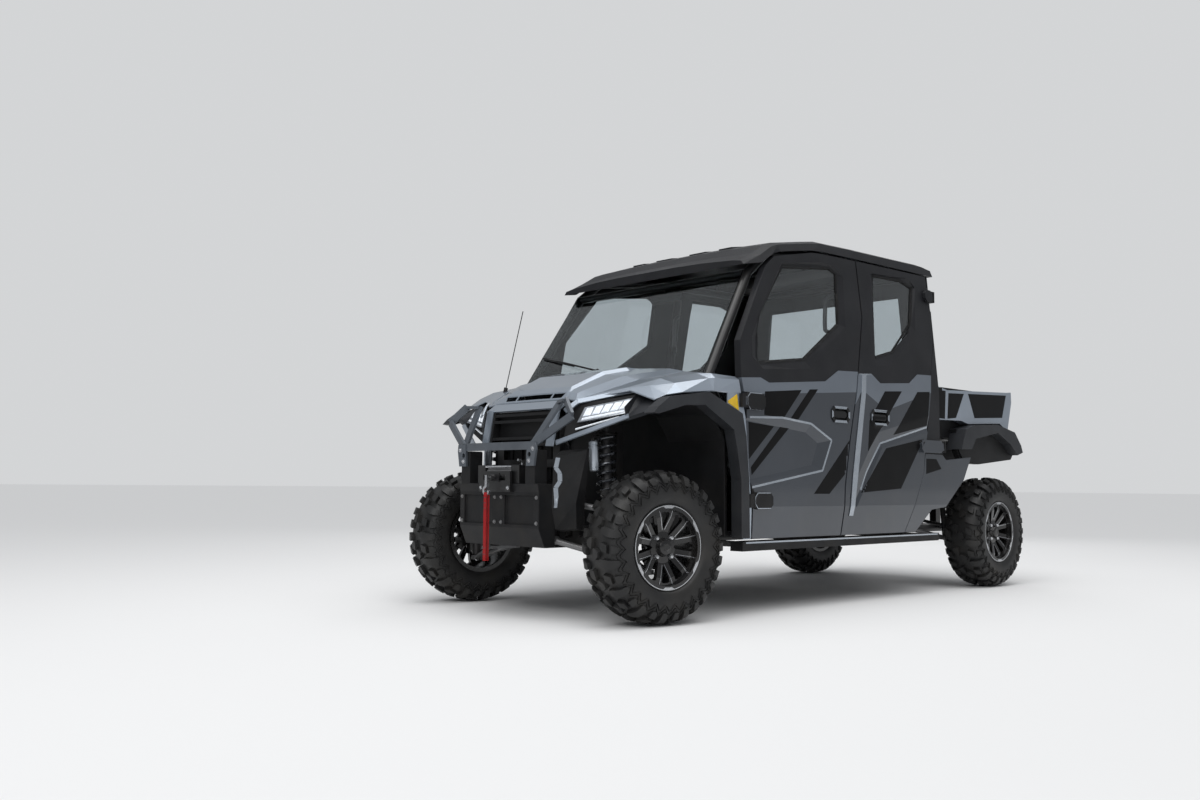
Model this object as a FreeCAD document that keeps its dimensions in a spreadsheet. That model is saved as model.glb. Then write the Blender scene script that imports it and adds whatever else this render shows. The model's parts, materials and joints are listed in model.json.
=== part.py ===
# Side by side utility vehicle with a closed four-door cab and a tipping cargo bed.
# Frame: +X forward, +Y to the left, +Z up, millimetres, origin on the ground at the centre of the vehicle.
import FreeCAD
import Part
import math
import os
import Sketcher
from FreeCAD import Placement, Rotation, Vector

doc = FreeCAD.newDocument("side_by_side")
sheet = doc.addObject("Spreadsheet::Sheet", "Sizes")

# Driving dimensions
SIZES = (
    ("wheelbase", 3150), ("overall_width", 1650), ("front_overhang", 455), ("rear_overhang", 385),
    ("tyre_radius", 355), ("tyre_width", 254), ("bead_radius", 184), ("rim_lip", 12), ("rim_wall", 12),
    ("kingpin_offset", 43), ("kingpin_radius", 12), ("ball_joint_height", 120), ("spindle_radius", 17),
    ("running_fit", 0.05), ("seat_gap", 0.3), ("arm_radius", 15), ("arm_elbow", 150), ("elbow_spread", 40),
    ("steer_arm", 80), ("steer_angle", -8), ("rack_radius", 11), ("steering_wheel_radius", 180),
    ("spring_radius", 52), ("shock_radius", 24), ("rail_half_width", 190), ("rail_size", 50),
    ("belly_height", 335), ("sill_height", 372), ("knee_front", 1105), ("knee_slope", 0.06),
    ("waist_inset", 35), ("sill_inset", 57), ("cab_lean", 0.094), ("cage_radius", 25), ("roof_height", 2045),
    ("door_thickness", 42), ("glass_thickness", 5), ("window_recess", 14), ("hinge_radius", 9),
    ("hinge_pin", 4), ("hinge_pivot", 12), ("hood_pin", 6), ("gate_pin", 8), ("hitch_bore", 25.4),
    ("hitch_pin", 8.1), ("guard_width", 38), ("guard_thickness", 14), ("bed_floor", 985), ("bed_top", 1275),
    ("bed_wall", 55),
)


class Size:
    """A number together with the expression that binds it to the sheet."""

    def __init__(self, value, text):
        self.value = float(value)
        self.text = text

    def __float__(self):
        return self.value

    def join(self, other, sign, value, swap=False):
        text = other.text if isinstance(other, Size) else repr(other)
        pair = (text, self.text) if swap else (self.text, text)
        return Size(value, "(%s %s %s)" % (pair[0], sign, pair[1]))

    def __add__(self, other):
        return self.join(other, "+", self.value + float(other))

    def __radd__(self, other):
        return self.join(other, "+", self.value + float(other), True)

    def __sub__(self, other):
        return self.join(other, "-", self.value - float(other))

    def __rsub__(self, other):
        return self.join(other, "-", float(other) - self.value, True)

    def __mul__(self, other):
        return self.join(other, "*", self.value * float(other))

    def __rmul__(self, other):
        return self.join(other, "*", self.value * float(other), True)

    def __truediv__(self, other):
        return self.join(other, "/", self.value / float(other))

    def __neg__(self):
        return Size(-self.value, "(0 - %s)" % self.text)


class Sizes:
    """The sheet's aliases as attributes, each a Size."""

    def __init__(self, rows):
        for number, (alias, value) in enumerate(rows, 1):
            sheet.set("A%d" % number, alias)
            sheet.set("B%d" % number, str(value))
            sheet.setAlias("B%d" % number, alias)
            setattr(self, alias, Size(value, "Sizes." + alias))


s = Sizes(SIZES)
doc.recompute()

# Places worked out from the sizes
front_axle = (s.wheelbase + s.front_overhang + s.rear_overhang) / 2 - s.front_overhang
rear_axle = front_axle - s.wheelbase
half_width = s.overall_width / 2
wheel_y = half_width - s.tyre_width / 2
axle_z = s.tyre_radius
kingpin_y = wheel_y - s.kingpin_offset
rack_z = axle_z + 75
LEFT, RIGHT = 1, -1
SIDES = ((LEFT, "left"), (RIGHT, "right"))
nodes = {}


# The drawing that the tables below are measured from: axle stations, ends of the cab, belt and roof
DRAWN_FRONT, DRAWN_REAR, DRAWN_HALF_WIDTH = 1540, -1610, 825
CAB_FRONT, CAB_REAR, BELT, DRAWN_ROOF = 1000, -900, 1180, 2045


def along(x):
    """A drawn station, carried along with its axle or spread over the cab."""
    if x >= CAB_FRONT:
        return float(front_axle) + x - DRAWN_FRONT
    if x <= CAB_REAR:
        return float(rear_axle) + x - DRAWN_REAR
    share = (x - CAB_REAR) / (CAB_FRONT - CAB_REAR)
    return along(CAB_REAR) + share * (along(CAB_FRONT) - along(CAB_REAR))


def across(y):
    """A drawn distance from the middle, spread over the width."""
    return y * float(half_width) / DRAWN_HALF_WIDTH


def up(z):
    """A drawn height, spread between belt and roof."""
    return z if z <= BELT else BELT + (z - BELT) * (float(s.roof_height) - BELT) / (DRAWN_ROOF - BELT)


def at(x, y, z):
    return Vector(along(x), across(y), up(z))


def vec(x, y, z):
    return Vector(float(x), float(y), float(z))


def keep(name, obj):
    """Registers an object as the sub-part with that name."""
    obj.Label = name
    nodes[name] = obj
    return obj


def feature(name, shape):
    obj = doc.addObject("Part::Feature", name)
    obj.Shape = shape
    return obj


def bind(obj, **values):
    for prop, value in values.items():
        place = prop.replace("base_", "Placement.Base.")
        obj.setExpression(place, value.text if isinstance(value, Size) else repr(value))
    return obj


def box(name, x, y, z):
    """A block between two planes on each axis, bound to the sheet."""
    obj = doc.addObject("Part::Box", name)
    spans = (x[1] - x[0], y[1] - y[0], z[1] - z[0])
    bind(obj, Length=spans[0], Width=spans[1], Height=spans[2], base_x=x[0], base_y=y[0], base_z=z[0])
    return obj


def rod(name, start, end, radius):
    """A round bar between two points; its radius is bound to the sheet."""
    a, b = vec(*start), vec(*end)
    obj = doc.addObject("Part::Cylinder", name)
    bind(obj, Radius=radius)
    obj.Height = (b - a).Length
    obj.Placement = Placement(a, Rotation(Vector(0, 0, 1), b - a))
    return obj


def ball(name, centre, radius):
    obj = doc.addObject("Part::Sphere", name)
    x, y, z = centre
    return bind(obj, Radius=radius, base_x=x, base_y=y, base_z=z)


def fuse(name, parts):
    obj = doc.addObject("Part::MultiFuse", name)
    obj.Shapes = list(parts)
    obj.Refine = True
    return obj


def cut(name, base, tool):
    obj = doc.addObject("Part::Cut", name)
    obj.Base = base
    obj.Tool = tool
    return obj


# Shapes made of flat facets
def polygon_faces(ring):
    """One flat face, or a fan of triangles where the ring isn't flat."""
    closed = Part.makePolygon(list(ring) + [ring[0]])
    try:
        flat = Part.Face(closed)
        if flat.isValid() and flat.Area > 0:
            return [flat]
    except Part.OCCError:
        pass
    return [Part.Face(Part.makePolygon([ring[0], ring[k], ring[k + 1], ring[0]]))
            for k in range(1, len(ring) - 1)]


def solid_from(faces):
    shell = Part.Shell(faces)
    shell.sewShape()
    solid = Part.Solid(shell if shell.ShapeType == "Shell" else shell.Shells[0])
    if solid.Volume < 0:
        solid.reverse()
    return merged(solid)


def loft_flat(sections):
    """A closed solid through polygons with equal numbers of points, faceted between them."""
    faces = polygon_faces(sections[0]) + polygon_faces(sections[-1])
    for near, far in zip(sections, sections[1:]):
        for k in range(len(near)):
            n = (k + 1) % len(near)
            faces += polygon_faces([near[k], near[n], far[n], far[k]])
    return solid_from(faces)


def sheet_solid(rows, shift):
    """A faceted sheet through a grid of points, given thickness by a shift of every point."""
    back = [[p + shift for p in row] for row in rows]
    faces = []
    for grid in (rows, back):
        for upper, lower in zip(grid, grid[1:]):
            for k in range(len(upper) - 1):
                faces += polygon_faces([upper[k], upper[k + 1], lower[k + 1], lower[k]])
    rim = rows[0] + [row[-1] for row in rows[1:]] + rows[-1][-2::-1] + [row[0] for row in rows[-2:0:-1]]
    for k, point in enumerate(rim):
        after = rim[(k + 1) % len(rim)]
        faces += polygon_faces([point, after, after + shift, point + shift])
    return solid_from(faces)


def prism_xz(points, y_low, y_high):
    """A plate with its outline in the XZ plane, between two Y planes."""
    ring = [at(x, y_low, z) for x, z in points]
    face = Part.Face(Part.makePolygon(ring + [ring[0]]))
    return face.extrude(vec(0, across(y_high) - across(y_low), 0))


def prism_yz(points, x_low, x_high):
    """A plate with its outline in the YZ plane, between two X planes."""
    ring = [at(x_low, y, z) for y, z in points]
    face = Part.Face(Part.makePolygon(ring + [ring[0]]))
    return face.extrude(vec(along(x_high) - along(x_low), 0, 0))


def block(x, y, z):
    """A box between drawn planes."""
    low, high = at(x[0], y[0], z[0]), at(x[1], y[1], z[1])
    return Part.makeBox(high.x - low.x, high.y - low.y, high.z - low.z, low)


def tube_path(points, radius):
    """A round bar along straight runs, with a ball at each corner."""
    line = [at(*p) for p in points]
    runs = [Part.makeCylinder(float(radius), (b - a).Length, a, b - a) for a, b in zip(line, line[1:])]
    return join(runs + [Part.makeSphere(float(radius), p) for p in line[1:-1]])


def merged(shape):
    """The shape with its coplanar faces made one, where that leaves it sound."""
    plain = shape.removeSplitter()
    return plain if plain.isValid() else shape


def join(shapes):
    return merged(shapes[0].multiFuse(shapes[1:]) if len(shapes) > 1 else shapes[0])


def strut(start, end, width_way, width, thickness):
    """A flat bar between drawn points; width_way is the direction its width lies in."""
    a, b = at(*start), at(*end)
    way = (b - a).normalize()
    wide = Vector(*width_way)
    wide = (wide - way * wide.dot(way)).normalize()
    thin = way.cross(wide)
    corners = [wide * (width / 2) * i + thin * (thickness / 2) * j
               for i, j in ((1, 1), (-1, 1), (-1, -1), (1, -1))]
    return loft_flat([[a + c for c in corners], [b + c for c in corners]])


def mirrored(shape):
    return shape.mirror(Vector(0, 0, 0), Vector(0, 1, 0))


def both(shape):
    """The shape and its mirror image across the middle of the vehicle."""
    return Part.Compound([shape, mirrored(shape)])


def sided(shape, side):
    return shape if side == LEFT else mirrored(shape)


# Wheels
def polygon_sketch(body, name, plane, points):
    """A closed outline whose corners are bound to the sheet."""
    sketch = body.newObject("Sketcher::SketchObject", name)
    support = [f for f in body.Origin.OriginFeatures if f.Role == plane][0]
    sketch.AttachmentSupport = [(support, "")]
    sketch.MapMode = "FlatFace"
    corners = [Vector(float(u), float(v), 0) for u, v in points]
    count = len(corners)
    for k in range(count):
        sketch.addGeometry(Part.LineSegment(corners[k], corners[(k + 1) % count]), False)
    for k in range(count):
        sketch.addConstraint(Sketcher.Constraint("Coincident", k, 2, (k + 1) % count, 1))
    for k, (u, v) in enumerate(points):
        for kind, value in (("DistanceX", u), ("DistanceY", v)):
            index = sketch.addConstraint(Sketcher.Constraint(kind, -1, 1, k, 1, float(value)))
            if isinstance(value, Size):
                sketch.setExpression("Constraints[%d]" % index, value.text)
    return sketch


def revolve(body, sketch):
    turn = body.newObject("PartDesign::Revolution", sketch.Name + "_turn")
    turn.Profile = sketch
    turn.ReferenceAxis = (sketch, ["V_Axis"])
    turn.Angle = 360
    return turn


def turned(x, y, side, offset):
    """A point at that offset outboard of a kingpin, turned about it by the steering angle."""
    angle = math.radians(float(s.steer_angle))
    east = Size(-math.sin(angle) * offset * side, "(0 - %s * %d * sin(%s))" % (offset, side,
        s.steer_angle.text))
    north = Size(math.cos(angle) * offset * side, "(%s * %d * cos(%s))" % (offset, side, s.steer_angle.text))
    return x + east, y + north


def place_wheel(body, x, side, steered):
    angle = 0 if side == LEFT else 180
    y = wheel_y * side
    if steered:
        x, y = turned(x, kingpin_y * side, side, float(s.kingpin_offset))
        angle += float(s.steer_angle)
    body.setExpression("Placement.Base.x", x.text)
    body.setExpression("Placement.Base.y", y.text)
    body.setExpression("Placement.Base.z", axle_z.text)
    body.Placement.Rotation = Rotation(Vector(0, 0, 1), angle)


def make_tyre(name, x, side):
    body = doc.addObject("PartDesign::Body", name)
    half = s.tyre_width / 2
    bead = s.bead_radius
    depth = s.tyre_radius - bead
    # radius, distance from the wheel's middle plane
    outer = (
        (bead, half - 30), (bead + 13, half - 30), (bead + depth * 0.2, half - 6),
        (bead + depth * 0.45, half), (bead + depth * 0.8, half - 6), (bead + depth * 0.95, half - 22),
        (s.tyre_radius, half - 42),
    )
    ring = list(outer) + [(r, -y) for r, y in reversed(outer)]
    revolve(body, polygon_sketch(body, name + "_section", "XY_Plane", ring))
    place_wheel(body, x, side, "front" in name)
    keep(name, body)


def make_rim(name, x, side):
    body = doc.addObject("PartDesign::Body", name)
    seat = s.bead_radius - s.seat_gap
    bead_y = s.tyre_width / 2 - 30 + s.seat_gap
    lip_y = bead_y + 8
    inner = seat - s.rim_wall
    bore = s.spindle_radius + s.running_fit
    lip = seat + s.rim_lip
    ring = [
        (0, 62), (0, 78), (38, 78), (44, 66), (72, 64), (inner - 30, 84), (inner, 84), (inner + 2, lip_y),
        (lip, lip_y), (lip, bead_y), (seat, bead_y), (seat, -bead_y), (lip, -bead_y), (lip, -lip_y),
        (inner + 2, -lip_y), (inner, -lip_y + 14), (inner, 62), (inner - 30, 62), (72, 44), (52, 44),
        (52, 22), (104, 22), (104, 15), (bore, 15), (bore, 62),
    ]
    revolve(body, polygon_sketch(body, name + "_section", "XY_Plane", ring))
    doc.recompute()
    # Twelve windows in the disc, in pairs between six forked spokes
    outer_r = inner - 8
    for number, (angle, low, half_in, half_out) in enumerate(((0, 62, 9, 24), (30, 84, 7, 24))):
        window = (
            (outer_r - 8, -half_out), (outer_r - 2, -half_out + 12), (outer_r - 2, half_out - 12),
            (outer_r - 8, half_out), (low + 10, half_in), (low, 0), (low + 10, -half_in),
        )
        turned = []
        c, q = math.cos(math.radians(angle)), math.sin(math.radians(angle))
        for u, v in window:
            turned.append((u * c - v * q, u * q + v * c))
        sketch = polygon_sketch(body, "%s_window_%d" % (name, number), "XZ_Plane", turned)
        pocket = body.newObject("PartDesign::Pocket", "%s_pocket_%d" % (name, number))
        pocket.Profile = sketch
        pocket.Type = 1
        pocket.Midplane = True
        pattern = body.newObject("PartDesign::PolarPattern", "%s_pattern_%d" % (name, number))
        pattern.Originals = [pocket]
        pattern.Axis = (sketch, ["N_Axis"])
        pattern.Angle = 360
        pattern.Occurrences = 6
        body.Tip = pattern
        doc.recompute()
    place_wheel(body, x, side, "front" in name)
    keep(name, body)


def make_wheels():
    for x, end in ((front_axle, "front"), (rear_axle, "rear")):
        for side, word in SIDES:
            make_tyre("%s_%s_tyre" % (end, word), x, side)
            make_rim("%s_%s_rim" % (end, word), x, side)


# Suspension and steering
def make_knuckle(name, side, x, steered):
    """The upright with its spindle, kingpins and, in front, its steering arm.

    The front ones are drawn about the kingpin at the origin and turned there by the steering angle.
    """
    place_x, place_y = x, kingpin_y * side
    x, y = (0, 0) if steered else (place_x, place_y)
    top = axle_z + s.ball_joint_height
    low = axle_z - s.ball_joint_height
    parts = [
        rod(name + "_pin", (x, y, low - 11), (x, y, top + 11), s.kingpin_radius),
        rod(name + "_post", (x, y, low + 16), (x, y, top - 16), s.kingpin_radius + 10),
        rod(name + "_hub", (x, y, axle_z), (x, y + side * 50, axle_z), s.spindle_radius + 25),
        rod(name + "_spindle", (x, y, axle_z), (x, y + side * (s.kingpin_offset + 60), axle_z),
            s.spindle_radius),
        box(name + "_caliper", (x - 108, x - 62), sorted((y - side * 14, y + side * 38), key=float),
            (axle_z - 8, axle_z + 52)),
        box(name + "_lug", (x - 80, x), sorted((y - side * 10, y + side * 18), key=float),
            (axle_z + 2, axle_z + 30)),
    ]
    if steered:
        parts.append(box(name + "_arm", (0, s.steer_arm + 12), sorted((-side * 22, side * 4)),
                         (rack_z - 26, rack_z - 14)))
    whole = fuse(name, parts)
    if steered:
        whole.setExpression("Placement.Base.x", place_x.text)
        whole.setExpression("Placement.Base.y", place_y.text)
        whole.Placement.Rotation = Rotation(Vector(0, 0, 1), float(s.steer_angle))
    return whole


def wishbone(name, x, side, pivot, spread, outer_z):
    """An A-shaped arm whose legs run close together out to the eye, so that the turned wheel clears them."""
    y = kingpin_y * side
    eye_y = float(y) - side * 22
    share = float(s.arm_elbow / (kingpin_y - pivot[0]))
    bars = []
    for k, way in enumerate((1, -1)):
        dx = way * spread
        inner = (float(x) + dx, pivot[0] * side, pivot[1])
        elbow = (x + way * s.elbow_spread, (kingpin_y - s.arm_elbow) * side,
                 float(outer_z) + share * (float(pivot[1]) - float(outer_z)))
        bars.append(rod("%s_leg_%d" % (name, k), inner, elbow, s.arm_radius))
        bars.append(rod("%s_tip_%d" % (name, k), elbow, (float(x) + way * 10, eye_y, float(outer_z)),
                        s.arm_radius))
        bars.append(ball("%s_bend_%d" % (name, k), elbow, s.arm_radius))
        bars.append(rod("%s_bush_%d" % (name, k), (inner[0] - 24, inner[1], inner[2]),
                        (inner[0] + 24, inner[1], inner[2]),
                        s.arm_radius + 5))
    eye = rod(name + "_eye", (x, y, outer_z - 11), (x, y, outer_z + 11), s.kingpin_radius + 14)
    bore = rod(name + "_bore", (x, y, outer_z - 12), (x, y, outer_z + 12), s.kingpin_radius + s.running_fit)
    return cut(name, fuse(name + "_arm", bars + [eye]), bore)


rail_outer = s.rail_half_width + s.rail_size
bush_y = rail_outer + s.arm_radius + 5 + s.seat_gap
rail_top = s.belly_height + s.rail_size
# end, axle, lower spread, upper spread, heights of the lower and upper bushes
ARMS = (
    ("front", front_axle, 240, 220, 372, 560),
    ("rear", rear_axle, 240, 220, 372, 560),
)


def make_suspension():
    for end, x, low_spread, top_spread, low_z, top_z in ARMS:
        arms = []
        for side, word in SIDES:
            stem = "%s_%s" % (end, word)
            lower = wishbone(stem + "_lower", x, side, (bush_y, low_z), low_spread,
                             axle_z - s.ball_joint_height)
            plate_y = sorted((side * (kingpin_y - 230), side * (kingpin_y - 200)), key=float)
            plate = box(stem + "_perch", (x - 118, x + 118), plate_y, (axle_z - 61, axle_z - 45))
            arms.append(fuse(stem + "_lower_arm", [lower, plate]))
            arms.append(wishbone(stem + "_upper", x, side, (bush_y, top_z), top_spread,
                                 axle_z + s.ball_joint_height))
            knuckle = make_knuckle(stem + "_knuckle", side, x, end == "front")
            if end == "front":
                keep(stem + "_knuckle", knuckle)
            else:
                arms.append(knuckle)
        group = doc.addObject("Part::Compound", end + "_wishbones")
        group.Links = arms
        keep(end + "_wishbones", group)


# end, axle, forward offset, distance of the top from the middle, height of the top
SHOCKS = (("front", front_axle, 40, 395, 960), ("rear", rear_axle, 40, 395, 868))


def shock_shape(foot, top):
    """A coil-over: eyes, damper body and a ribbed sleeve that stands for the spring's turns."""
    axis = top - foot
    length = axis.Length
    coil = float(s.spring_radius)
    damper = float(s.shock_radius)
    low, high, turns = 0.45 * length, 0.88 * length, 4
    outline = [(0, 0), (damper * 0.75, 0), (damper * 0.75, low), (coil + 3, low), (coil + 3, low + 10)]
    pitch = (high - low - 10) / turns
    for k in range(turns):
        base = low + 10 + k * pitch
        outline += [(coil - 12, base + pitch * 0.1), (coil, base + pitch * 0.35), (coil, base + pitch * 0.65)]
    outline += [(coil + 3, high), (coil + 3, high + 10), (damper, high + 10), (damper, length), (0, length)]
    ring = [Vector(r, 0, z) for r, z in outline]
    turned = Part.Face(Part.makePolygon(ring + [ring[0]])).revolve(Vector(), Vector(0, 0, 1), 360)
    turned.Placement = Placement(foot, Rotation(Vector(0, 0, 1), axis))
    return turned


def make_shocks():
    shapes = []
    for end, x, offset, top_y, top_z in SHOCKS:
        for side, word in SIDES:
            foot = vec(float(x) + offset, side * float(kingpin_y - 215), axle_z - 45 + 2)
            shapes.append(shock_shape(foot, vec(float(x) + offset, side * top_y, top_z)))
    keep("shock_absorbers", feature("shock_absorbers", Part.Compound(shapes)))


def make_steering():
    """The rack and its track rods slide through the housing on the frame."""
    x = front_axle + s.steer_arm
    shift = float(s.steer_arm) * math.sin(math.radians(float(s.steer_angle)))
    ends = {side: side * (kingpin_y - 12) + shift for side in (LEFT, RIGHT)}
    rods = [rod("rack_bar", (x, ends[RIGHT], rack_z), (x, ends[LEFT], rack_z), s.rack_radius)]
    for side, word in SIDES:
        rods.append(rod("track_end_" + word, (x, ends[side], rack_z - 11), (x, ends[side], rack_z + 11),
                        s.arm_radius))
    keep("steering_rack", fuse("steering_rack", rods))


# Frame
# name, x range, y range on the left, z range
RAILS = (
    ("belly", (-1900, 1812), (190, 240), (335, 385)),
    ("front_rear_post", (1300, 1340), (190, 240), (385, 905)),
    ("front_post", (1738, 1786), (190, 240), (385, 640)),
    ("tower_post", (1690, 1730), (190, 240), (385, 905)),
    ("front_top", (1300, 1730), (190, 240), (905, 945)),
    ("bed_front_post", (-1410, -1370), (190, 240), (385, 850)),
    ("bed_rear_post", (-1870, -1810), (190, 240), (385, 850)),
    ("bed_rail", (-1900, -1000), (190, 240), (850, 890)),
    ("bed_brace", (-1040, -1000), (190, 240), (385, 850)),
    ("outrigger_front", (930, 970), (240, 686.5), (335, 363)),
    ("outrigger_middle", (80, 120), (240, 686.5), (335, 363)),
    ("outrigger_rear", (-800, -760), (240, 686.5), (335, 363)),
)
# x range, half width, z range
CROSSBARS = (
    ((1775, 1812), 190, (345, 385)), ((1050, 1090), 190, (345, 385)), ((60, 100), 190, (345, 385)),
    ((-900, -860), 190, (345, 385)), ((-1410, -1370), 190, (345, 385)), ((-1900, -1860), 190, (345, 385)),
    ((1480, 1520), 190, (345, 385)), ((-1640, -1600), 190, (345, 385)), ((1690, 1730), 190, (720, 760)),
    ((1560, 1600), 425, (962, 980)), ((1560, 1600), 190, (905, 945)), ((-1590, -1550), 425, (870, 890)),
    ((-1900, -1870), 190, (850, 890)), ((-1040, -1000), 190, (850, 890)),
)


def make_frame():
    pieces = []
    for name, x, y, z in RAILS:
        beam = block(x, y, z)
        pieces += [beam, mirrored(beam)]
    for x, half, z in CROSSBARS:
        pieces.append(block(x, (-half, half), z))
    for side in (LEFT, RIGHT):
        riser = block((1565, 1595), (190, 240), (945, 962))
        pieces.append(sided(riser, side))
    rack_x = float(front_axle + s.steer_arm)
    housing = Part.makeCylinder(float(s.rack_radius) + 10, 2 * across(240), vec(rack_x, -across(240), rack_z),
                                vec(0, 1, 0))
    pieces.append(housing)
    for side in (LEFT, RIGHT):
        stand = Part.makeBox(40, across(50), float(rack_z - rail_top),
                             vec(rack_x - 20, across(190), rail_top))
        pieces.append(sided(stand, side))
    for side in (LEFT, RIGHT):
        rest = block((-1070, -1030), (190, 240), (890, 954.7))
        pieces.append(sided(rest, side))
    frame = join(pieces)
    bore = Part.makeCylinder(float(s.rack_radius + s.running_fit), 600, vec(rack_x, -300, rack_z),
                             vec(0, 1, 0))
    frame = frame.cut(bore)
    # Ears and pins that carry the tipping bed
    ears = [block((-1876, -1840), y, (890, 945)) for y in ((200, 212), (228, 240))]
    ears.append(Part.makeCylinder(float(s.hinge_pivot), across(40),
                                  vec(bed_pivot.x, across(200), bed_pivot.z), vec(0, 1, 0)))
    frame = frame.multiFuse(ears + [mirrored(ear) for ear in ears])
    keep("chassis_frame", feature("chassis_frame", merged(frame)))


def make_hitch():
    """Receiver: a square tube with a cross hole for its pin, on a foot that meets the rear crossbar."""
    half, wall = float(s.hitch_bore), 6.35
    x, z = along(-1995), 365
    outer = Part.makeBox(95, 2 * (half + wall), 2 * (half + wall), vec(x, -half - wall, z - half - wall))
    hollow = Part.makeBox(90, 2 * half, 2 * half, vec(x - 5, -half, z - half))
    pin = Part.makeCylinder(float(s.hitch_pin), 100, vec(x + 19, -50, z), vec(0, 1, 0))
    keep("hitch_receiver", feature("hitch_receiver", outer.cut(hollow).cut(pin)))


bed_pivot = at(-1860, 0, 922)


def make_cage():
    """Cab frame: front pillars, roof rails, middle and rear pillars and the hoops between them."""
    r = float(s.cage_radius)
    side_runs = (
        ((1050, 688, 408), (1050, 688, 990), (1167, 690, 1166), (791, 640, 1749), (640, 632, 1868),
         (180, 630, 1934),
         (-870, 630, 1956), (-879.7, 700, 1150), (-879.7, 700, 712)),
        ((-90, 630, 1939), (-20, 688, 1150), (118, 688, 408)),
    )
    pieces = []
    for points in side_runs:
        tube = tube_path(points, r)
        pieces += [tube, mirrored(tube)]
    for x, y, z in ((791, 640, 1749), (-90, 630, 1939), (-870, 630, 1956)):
        pieces.append(tube_path(((x, -y, z), (x, y, z)), r - 4))
    for x, y, z in ((1050, 688, 391), (118, 688, 391)):
        foot = block((x - 34, x + 34), (y - 27, y + 27), (z, z + 22))
        pieces += [foot, mirrored(foot)]
    foot = block((-904, -850), (670, 725), (706, 722))
    pieces += [foot, mirrored(foot)]
    keep("cab_cage", feature("cab_cage", join(pieces)))


def make_floor():
    t = 6
    shell = [
        block((-450, 1101), (-716, 716), (385, 385 + t)), block((1095, 1101), (-640, 640), (391, 1140)),
        block((-456, -450), (-660, 660), (385, 706)), block((-905, -450), (-730, 730), (700, 706)),
    ]
    keep("floor_pan", feature("floor_pan", join(shell)))


# Sides of the cab
def knee_height(x):
    """Height of the crease along the side, which rises to the rear."""
    return float(s.knee_front) + float(s.knee_slope) * (CAB_FRONT + 7 - x)


def side_solid(inset):
    """The inside of the cab's side surface: sill, flat waist and an upper part that leans in."""
    sections = []
    for x in (-1330, 1130):
        waist = float(half_width - s.waist_inset) - inset
        sill = float(half_width - s.sill_inset) - inset
        knee = knee_height(x)
        top = float(s.roof_height) + 40
        inner = across(540)
        leaned = waist - float(s.cab_lean) * (top - knee)
        section = ((inner, 300), (sill - 6, 300), (sill, float(s.sill_height)), (waist, 535), (waist, knee),
                   (leaned, top), (inner, top))
        sections.append([Vector(along(x), y, z) for y, z in section])
    return loft_flat(sections)


def side_band(outer, inner):
    return side_solid(outer).cut(side_solid(inner))


def outline_prism(points):
    return prism_xz(points, 500, 900)


def side_point(x, z, depth):
    """The point of the side surface at a drawn place, that deep under it (above the sill)."""
    place = at(x, 0, z)
    waist = float(half_width - s.waist_inset)
    return Vector(place.x, waist - float(s.cab_lean) * max(0, place.z - knee_height(place.x)) - depth,
                  place.z)


def dish(outer, inner, depth):
    """What a slanted recess takes out of the side: outer outline at the surface, inner at its floor."""
    slope = depth / (depth + 2)
    far = [(ox + (ox - ix) * (1 / slope - 1), oz + (oz - iz) * (1 / slope - 1))
           for (ox, oz), (ix, iz) in zip(outer, inner)]
    return loft_flat([[side_point(x, z, -2) for x, z in far], [side_point(x, z, depth) for x, z in inner]])


def crease(path, rise, drop, depth):
    """A groove along the side: a long slope above the path and a short bevel below it."""
    sections = []
    for k, (x, z) in enumerate(path):
        ways = []
        for (ax, az), (bx, bz) in zip(path[max(0, k - 1):k + 1], path[max(0, k - 1) + 1:k + 2]):
            length = math.hypot(bx - ax, bz - az)
            ways.append(((bz - az) / length, (ax - bx) / length))
        nx, nz = sum(w[0] for w in ways), sum(w[1] for w in ways)
        scale = len(ways) / (nx * nx + nz * nz)
        nx, nz = nx * scale, nz * scale
        above, below = rise * 1.1, drop * 1.1
        sections.append([side_point(x + nx * above, z + nz * above, -depth * 0.1), side_point(x, z, depth),
                         side_point(x - nx * below, z - nz * below, -depth * 0.1)])
    return loft_flat(sections)


def octagon(x0, x1, z0, z1, corner):
    return ((x0 + corner, z0), (x1 - corner, z0), (x1, z0 + corner), (x1, z1 - corner), (x1 - corner, z1),
            (x0 + corner, z1), (x0, z1 - corner), (x0, z0 + corner))


def grown(points, amount):
    """The outline moved outward on every side by the same amount."""
    ring = [vec(x, 0, z) for x, z in points]
    wire = Part.makePolygon(ring + [ring[0]]).makeOffset2D(amount, 2, False, False, False)
    ordered = [v.Point for v in wire.OrderedVertexes]
    return [(p.x, p.z) for p in ordered]


# Outlines in (x, z), from the sill round by the front edge
FRONT_DOOR = (
    (149, 376), (914, 376), (949, 665), (981, 977), (1012, 1175), (998, 1367), (742, 1784), (659, 1848),
    (319, 1918), (222, 1925), (-100, 1933), (-114, 1603), (-28, 1293), (-14, 1259), (31, 1097), (86, 879),
    (133, 636),
)
REAR_DOOR = (
    (-508, 376), (139, 376), (123, 636), (76, 879), (21, 1097), (-24, 1259), (-38, 1293), (-124, 1603),
    (-110, 1934), (-869, 1947), (-892, 1731), (-888, 1545), (-817, 1322), (-758, 1004), (-716, 841),
    (-698, 720), (-603, 553),
)
FRONT_WINDOW = ((460, 1315), (859, 1265), (831, 1498), (578, 1803), (150, 1855), (85, 1831), (108, 1543))
REAR_WINDOW = ((-427, 1433), (-235, 1385), (-276, 1775), (-292, 1876), (-588, 1886), (-714, 1855),
               (-659, 1626), (-618, 1559))
# Where the painted lower panel ends, from the door's front edge to its rear one
FRONT_BELT = ((1012, 1175), (861, 1186), (794, 1164), (299, 1206), (167, 1275), (-24, 1283))
REAR_BELT = ((-24, 1273), (-160, 1282), (-242, 1233), (-559, 1256), (-660, 1316), (-825, 1322))
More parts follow.
